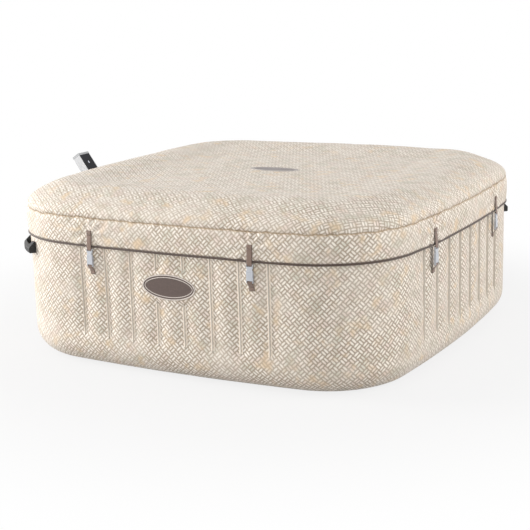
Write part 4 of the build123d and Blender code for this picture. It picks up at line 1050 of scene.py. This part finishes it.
# ---- Straps and buckles ---------------------------------------------------------------------------
class HOTTUB_OT_straps(bpy.types.Operator):
    """Makes the webbing straps, looped through the buckles and sewn down at their far ends"""

    bl_idname = "hottub.straps"
    bl_label = "Straps"

    width = 0.025
    thick = 0.0014

    def ribbon(self, bm, path):
        """A strap's strip of cloth along (height, out) points, one strand of webbing thick."""
        run, rise = bm.verts.layers.float["run"], bm.verts.layers.float["rise"]
        chain = [bm.verts.new((-self.width / 2, path[0][0], path[0][1]))]
        for up, out in path[1:]:
            made = bmesh.ops.extrude_vert_indiv(bm, verts=[chain[-1]])
            chain.append(made["verts"][0])
            chain[-1].co = Vector((-self.width / 2, up, out))
            chain[-1][rise] = chain[-2][rise] + (chain[-1].co - chain[-2].co).length
        rows = [e for v in chain for e in v.link_edges]
        rows = list(dict.fromkeys(rows))
        for _ in range(6):
            made = bmesh.ops.extrude_edge_only(bm, edges=rows)
            rows = of_kind(made["geom"], BMEdge)
            fresh = of_kind(made["geom"], BMVert)
            bmesh.ops.translate(bm, verts=fresh, vec=(self.width / 6, 0, 0))
        for v in bm.verts:
            v[run] = v.co.x

    def repeat(self, bm, places):
        """Copies what is drawn in bm to each place, and leaves nothing where it was drawn."""
        drawn = list(bm.verts) + list(bm.edges) + list(bm.faces)
        for place in places:
            made = bmesh.ops.duplicate(bm, geom=drawn)
            fresh = of_kind(made["geom"], BMVert)
            bmesh.ops.transform(bm, matrix=place, verts=fresh)
        bmesh.ops.delete(bm, geom=of_kind(drawn, BMVert), context="VERTS")

    def stitches(self, bm, foot, head, out):
        """A sewn box with a cross in it: short raised stitches on the strap's face."""
        half, pitch = self.width / 2 - 0.003, 0.0032  # the box stands 3 mm in from the edges
        stitch = Matrix.Diagonal((0.0011, 0.00045, 0.0004, 1))
        corners = [Vector((-half, foot + 0.002)), Vector((half, foot + 0.002)),
                   Vector((half, head - 0.002)), Vector((-half, head - 0.002))]
        lines = list(zip(corners, corners[1:] + corners[:1]))
        lines += [(corners[0], corners[2]), (corners[1], corners[3])]
        for start, end in lines:
            count = max(2, round((end - start).length / pitch))
            tilt = Matrix.Rotation(atan2(end.y - start.y, end.x - start.x), 4, "Z")
            for i in range(count):
                spot = start.lerp(end, (i + 0.5) / count)
                place = Matrix.Translation((spot.x, spot.y, out)) @ tilt @ stitch
                bmesh.ops.create_icosphere(bm, subdivisions=1, radius=1, matrix=place)

    def bar_loop(self, bar, face, up):
        """A strap's way round a buckle's bar, from its face to its back."""
        steps = ((0.0004, 0.9), (0.0017, 0.45), (0.0021, 0), (0.0017, -0.45), (0.0004, -0.9))
        return [(bar - up * step, face * share) for step, share in steps]

    def execute(self, context):
        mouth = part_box("buckle_receivers")[1].z
        centre = 0.0155  # wall to the buckle's middle
        places = [wall_matrix(side, along, centre, mouth) for side, along in STRAPS]
        bar, play, half = 0.002, 0.0003, self.thick / 2
        face = bar + play + half
        skirt = SKIRT_OUT - centre + 0.0062  # the skirt's face, seen from the buckle's middle
        top_bar, low_bar = 0.029, -0.041  # the bars' heights from the buckle's mouth
        # Each strap is (height, out) points: its sewn end, its way to the bar, and its tail
        upper = [
            (0.117, skirt), (0.106, skirt), (0.097, skirt + 0.0002), (0.088, skirt + 0.0006),
            (0.078, skirt + 0.0018), (0.068, skirt + 0.0030), (0.058, face - 0.0006), (0.048, face),
            (0.040, face), (0.034, face), *self.bar_loop(top_bar, face, 1),
            (0.034, -face), (0.0385, -face),
        ]
        wall = 0.0009 - centre
        lower = [
            (-0.084, wall), (-0.078, wall), (-0.073, wall + 0.0004), (-0.069, wall + 0.0018),
            (-0.064, wall + 0.0052), (-0.059, wall + 0.0092), (-0.054, wall + 0.0130),
            (-0.050, face - 0.0009),
            (low_bar - 0.003, face), *self.bar_loop(low_bar, face, -1),
            (low_bar - 0.004, -face), (low_bar - 0.008, -face - 0.0002),
        ]
        for name, node, body, path, ends in (
            ("upper_strap_webbing", "upper_straps", "lid", upper, (0.096, 0.117, skirt)),
            ("lower_strap_webbing", "lower_straps", "tub", lower, (-0.084, -0.070, wall)),
        ):
            bm = new_mesh()
            self.ribbon(bm, path)
            fold = new_mesh()
            foot, head, out = ends
            over = out + 0.0016  # the end folded back on the strap, and sewn down
            self.ribbon(fold, [(foot, over), ((foot + head) / 2, over + 0.0001), (head, over)])
            bm.from_mesh(as_mesh(fold, "fold"))
            self.repeat(bm, places)
            bmesh.ops.recalc_face_normals(bm, faces=bm.faces)
            lay_flat(bm)
            strap = thicken(piece(bm, name, body, "webbing", FINISHES["webbing"], sharp=50), self.thick, 0)
            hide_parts(node)
            bm = new_mesh()
            self.stitches(bm, foot, head, over + half)
            self.repeat(bm, places)
            piece(bm, name.replace("webbing", "stitching"), body, "webbing", FINISHES["thread"])
        return {"FINISHED"}


class HOTTUB_OT_buckles(bpy.types.Operator):
    """Finishes the side-release buckles and the carry handles"""

    bl_idname = "hottub.buckles"
    bl_label = "Buckles and handles"

    def execute(self, context):
        refinish("buckle_receivers", "buckle_clips", "carry_handles")
        for name in ("buckle_receivers", "buckle_clips"):
            weighted = frame["nodes"][name].modifiers.new("shading", "WEIGHTED_NORMAL")
            weighted.keep_sharp = True
        return {"FINISHED"}


class HOTTUB_OT_badges(bpy.types.Operator):
    """Makes the two bare oval badges, domed and curved to what they lie on"""

    bl_idname = "hottub.badges"
    bl_label = "Badges"

    def oval(self, length_across, height, thick):
        """A domed oval with a raised pale rim, in the XY plane with its face up."""
        bm = new_mesh()
        bmesh.ops.create_circle(bm, cap_ends=True, segments=96, radius=0.5)
        bmesh.ops.scale(bm, verts=bm.verts, vec=(length_across, height, 1))
        bm.faces.ensure_lookup_table()
        base = bm.faces[0]
        if base.normal.z < 0:
            base.normal_flip()
        top = raise_block(bm, base, thick)
        round_edges(bm, list(top.edges), thick * 0.3, 3)
        for inset, depth, finish_index in (
            (0.0045, 0.0, 1), (0.0010, -0.0007, 0), (0.0060, 0.0, 0), (0.0008, 0.0005, 1),
            (0.0012, 0.0, 1), (0.0008, -0.0005, 1), (0.0080, 0.0002, 0), (0.0100, 0.0002, 0),
        ):
            made = bmesh.ops.inset_region(
                bm, faces=[top_face(bm)], thickness=inset, depth=depth, use_even_offset=True
            )
            for face in made["faces"]:
                face.material_index = finish_index
        for face in bm.faces:
            if face.calc_center_median().z < thick * 0.6:
                face.material_index = 1
        bmesh.ops.poke(bm, faces=[top_face(bm)])
        return bm

    def execute(self, context):
        for name, node, body in (
            ("front_badge_oval", "front_badge", "tub"),
            ("lid_badge_oval", "lid_badge", "lid"),
        ):
            low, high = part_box(node)
            lies = node == "lid_badge"
            thick = (high.z - low.z) if lies else (high.y - low.y)
            bm = self.oval(high.x - low.x, (high.y - low.y) if lies else (high.z - low.z), thick)
            if lies:
                bmesh.ops.translate(bm, verts=bm.verts, vec=(0, 0, low.z))
            else:
                for v in bm.verts:  # bent to the wall's bow
                    turn = v.co.x / SIDE
                    out = SIDE + 0.0003 + v.co.z
                    height = v.co.y + (low.z + high.z) / 2
                    v.co = Vector((out * sin(turn), SIDE - HALF - out * cos(turn), height))
            mark_runs(bm)
            lay_flat(bm)
            made = piece(bm, name, body, "badge", FINISHES["badge"], FINISHES["badge_rim"], sharp=35)
            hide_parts(node)
        return {"FINISHED"}


# ---- Pump unit, control head and fittings ---------------------------------------------------------
class HOTTUB_OT_control_head(bpy.types.Operator):
    """Finishes the control head and prints the touch marks on its face"""

    bl_idname = "hottub.control_head"
    bl_label = "Control head"

    def execute(self, context):
        refinish("control_neck", "touch_glass", "head_end", "neck_screws")
        low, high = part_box("touch_glass")
        lean = radians(35)  # of the head's face from upright
        middle = (low + high) / 2
        glass = 0.002
        facing = Matrix.Rotation(pi / 2, 4, "Z") @ Matrix.Rotation(pi / 2 - lean, 4, "X")
        face = Matrix.Translation(middle) @ facing
        bm = new_mesh()
        marks = [(0, 0.046, 0.0052, 0.0080)]
        marks += [(x, y, 0.0036, 0.0036) for x in (-0.022, 0.0, 0.022) for y in (0.0, -0.026, -0.052)]
        for x, y, wide, tall in marks:
            place = face @ Matrix.Translation((x, y, glass / 2 + 0.00005))
            place = place @ Matrix.Diagonal((wide, tall, 0.0003, 1))
            bmesh.ops.create_cone(
                bm, cap_ends=True, segments=32, radius1=1, radius2=0.96, depth=1, matrix=place
            )
        piece(bm, "touch_marks", "tub", "touch_glass", FINISHES["mark"], sharp=30)
        return {"FINISHED"}


class HOTTUB_OT_pump_unit(bpy.types.Operator):
    """Finishes the pump unit: its shell, its feet, its ports and the machinery inside"""

    bl_idname = "hottub.pump_unit"
    bl_label = "Pump unit"

    def execute(self, context):
        refinish(
            "pump_feet", "pump_tray", "pump_housing", "pump_cap", "vent_grilles", "pump_ports",
            "suction_pipe", "return_pipe", "pump_volute", "pump_motor", "heater", "blower_case",
            "blower_motor", "cord_gland", "impeller", "blower_wheel",
        )
        return {"FINISHED"}


class HOTTUB_OT_fittings(bpy.types.Operator):
    """Finishes the wall fittings, the coupling nuts, the valves and the filter"""

    bl_idname = "hottub.fittings"
    bl_label = "Wall fittings"

    def execute(self, context):
        refinish(
            "water_fittings", "air_fitting", "filter_bowl", "filter_cartridge", "filter_cap",
            "outlet_screen", "inflation_valve", "inflation_cap", "drain_valve", "drain_cap",
            "inlet_nut", "outlet_nut", "air_nut",
        )
        return {"FINISHED"}


# ---- Stage ----------------------------------------------------------------------------------------
class HOTTUB_OT_stage(bpy.types.Operator):
    """Makes the floor, the lamps, the world and the camera"""

    bl_idname = "hottub.stage"
    bl_label = "Stage"

    def lamp(self, name, place, target, width, height, power, tint):
        data = bpy.data.lights.new(name, "AREA")
        data.shape, data.size, data.size_y = "RECTANGLE", width, height
        data.energy, data.color = power, linear(tint)
        made = as_object(data, name)
        made.location = place
        made.rotation_euler = (Vector(target) - Vector(place)).to_track_quat("-Z", "Y").to_euler()

    def seen_white(self, tree, plain, output, keep):
        """Shows white where the camera, a reflection or glass looks, and keeps some shadow."""
        path = add(tree, "LightPath").node.outputs
        looks = add(tree, "Math", path["Is Glossy Ray"], path["Is Transmission Ray"], operation="MAXIMUM")
        looks = add(tree, "Math", looks, path["Is Camera Ray"], operation="MAXIMUM")
        far = add(tree, "VectorMath", add(tree, "TexCoord", out="Object"), operation="LENGTH", out=1)
        white = add(tree, "MapRange", far, 1.3, 2.6, 1 - keep, 1.0, **SOFT)
        share = add(tree, "Math", looks, white, operation="MULTIPLY")
        mixed = add(tree, "MixShader", share, plain, add(tree, "Emission", linear("FFFFFF"), 1.0))
        tree.links.new(mixed, output.inputs["Surface"])

    def execute(self, context):
        scene = context.scene
        bm = bmesh.new()
        bmesh.ops.create_grid(bm, x_segments=8, y_segments=8, size=30)
        mesh = as_mesh(bm, "floor")
        as_object(mesh, "floor")
        material, tree, shader = start_finish("studio_floor", 0.9, Specular_IOR_Level=0.1)
        shader.inputs["Base Color"].default_value = (*linear("BFBDBC"), 1)
        self.seen_white(tree, shader.outputs[0], tree.nodes["Material Output"], 0.18)
        mesh.materials.append(material)

        world = bpy.data.worlds.new("studio")
        world.use_nodes = True
        scene.world = world
        tree = world.node_tree
        plain = tree.nodes["Background"]
        plain.inputs[0].default_value = (*linear("FCFDFF"), 1)
        plain.inputs[1].default_value = 0.70
        self.seen_white(tree, plain.outputs[0], tree.nodes["World Output"], 0.0)

        self.lamp("key", (-6.0, -2.4, 2.3), (0, 0, 0.4), 3.0, 3.0, 440, "FFFDFC")
        self.lamp("side", (5.5, 1.3, 2.3), (0, 0, 0.4), 3.0, 3.0, 178, "FFFDFC")
        self.lamp("front", (1.0, -6.0, 2.0), (0, 0, 0.3), 4.0, 3.0, 84, "FFFEFD")

        eye = Vector((2.88780756, -5.39243055, 1.74897204))
        target = Vector((-0.05307995, -0.02910548, 0.30680662))
        back = (eye - target).normalized()
        right = Vector((0, 0, 1)).cross(back).normalized()
        up = back.cross(right)
        tilt = 0.0287  # roll about the line of sight, in radians
        tilted_right = right * cos(tilt) - up * sin(tilt)
        tilted_up = up * cos(tilt) + right * sin(tilt)
        data = bpy.data.cameras.new("camera")
        data.sensor_width, data.lens = 36.0, 84.76
        camera = as_object(data, "camera")
        axes = Matrix((tilted_right, tilted_up, back)).transposed()
        camera.matrix_world = Matrix.Translation(eye) @ axes.to_4x4()
        scene.camera = camera
        scene.view_settings.view_transform = "Standard"
        return {"FINISHED"}


OPERATORS = (
    HOTTUB_OT_outer_wall,
    HOTTUB_OT_basin,
    HOTTUB_OT_lid_cover,
    HOTTUB_OT_skirt,
    HOTTUB_OT_lid_inside,
    HOTTUB_OT_straps,
    HOTTUB_OT_buckles,
    HOTTUB_OT_badges,
    HOTTUB_OT_control_head,
    HOTTUB_OT_pump_unit,
    HOTTUB_OT_fittings,
    HOTTUB_OT_stage,
)


class HOTTUB_PT_panel(bpy.types.Panel):
    """The sidebar's list of sizes, colours and pieces"""

    bl_idname = "HOTTUB_PT_panel"
    bl_label = "Hot tub"
    bl_space_type = "VIEW_3D"
    bl_region_type = "UI"
    bl_category = "Hot tub"

    def draw(self, context):
        column = self.layout.column(align=True)
        for group in (context.scene.tub_sizes, context.scene.tub_colours):
            for name in group.bl_rna.properties.keys():
                if name not in ("rna_type", "name"):
                    column.prop(group, name)
            column.separator()
        for operator in OPERATORS:
            column.operator(operator.bl_idname)


CLASSES = (TubSizes, TubColours, *OPERATORS, HOTTUB_PT_panel)


def register():
    for cls in CLASSES:
        bpy.utils.register_class(cls)
    bpy.types.Scene.tub_sizes = bpy.props.PointerProperty(type=TubSizes)
    bpy.types.Scene.tub_colours = bpy.props.PointerProperty(type=TubColours)


def unregister():
    del bpy.types.Scene.tub_colours
    del bpy.types.Scene.tub_sizes
    for cls in reversed(CLASSES):
        bpy.utils.unregister_class(cls)


def main():
    """Makes the whole tub."""
    register()
    make_finishes()
    for operator in OPERATORS:
        group, name = operator.bl_idname.split(".")
        getattr(getattr(bpy.ops, group), name)()


if __name__ == "__main__":
    main()
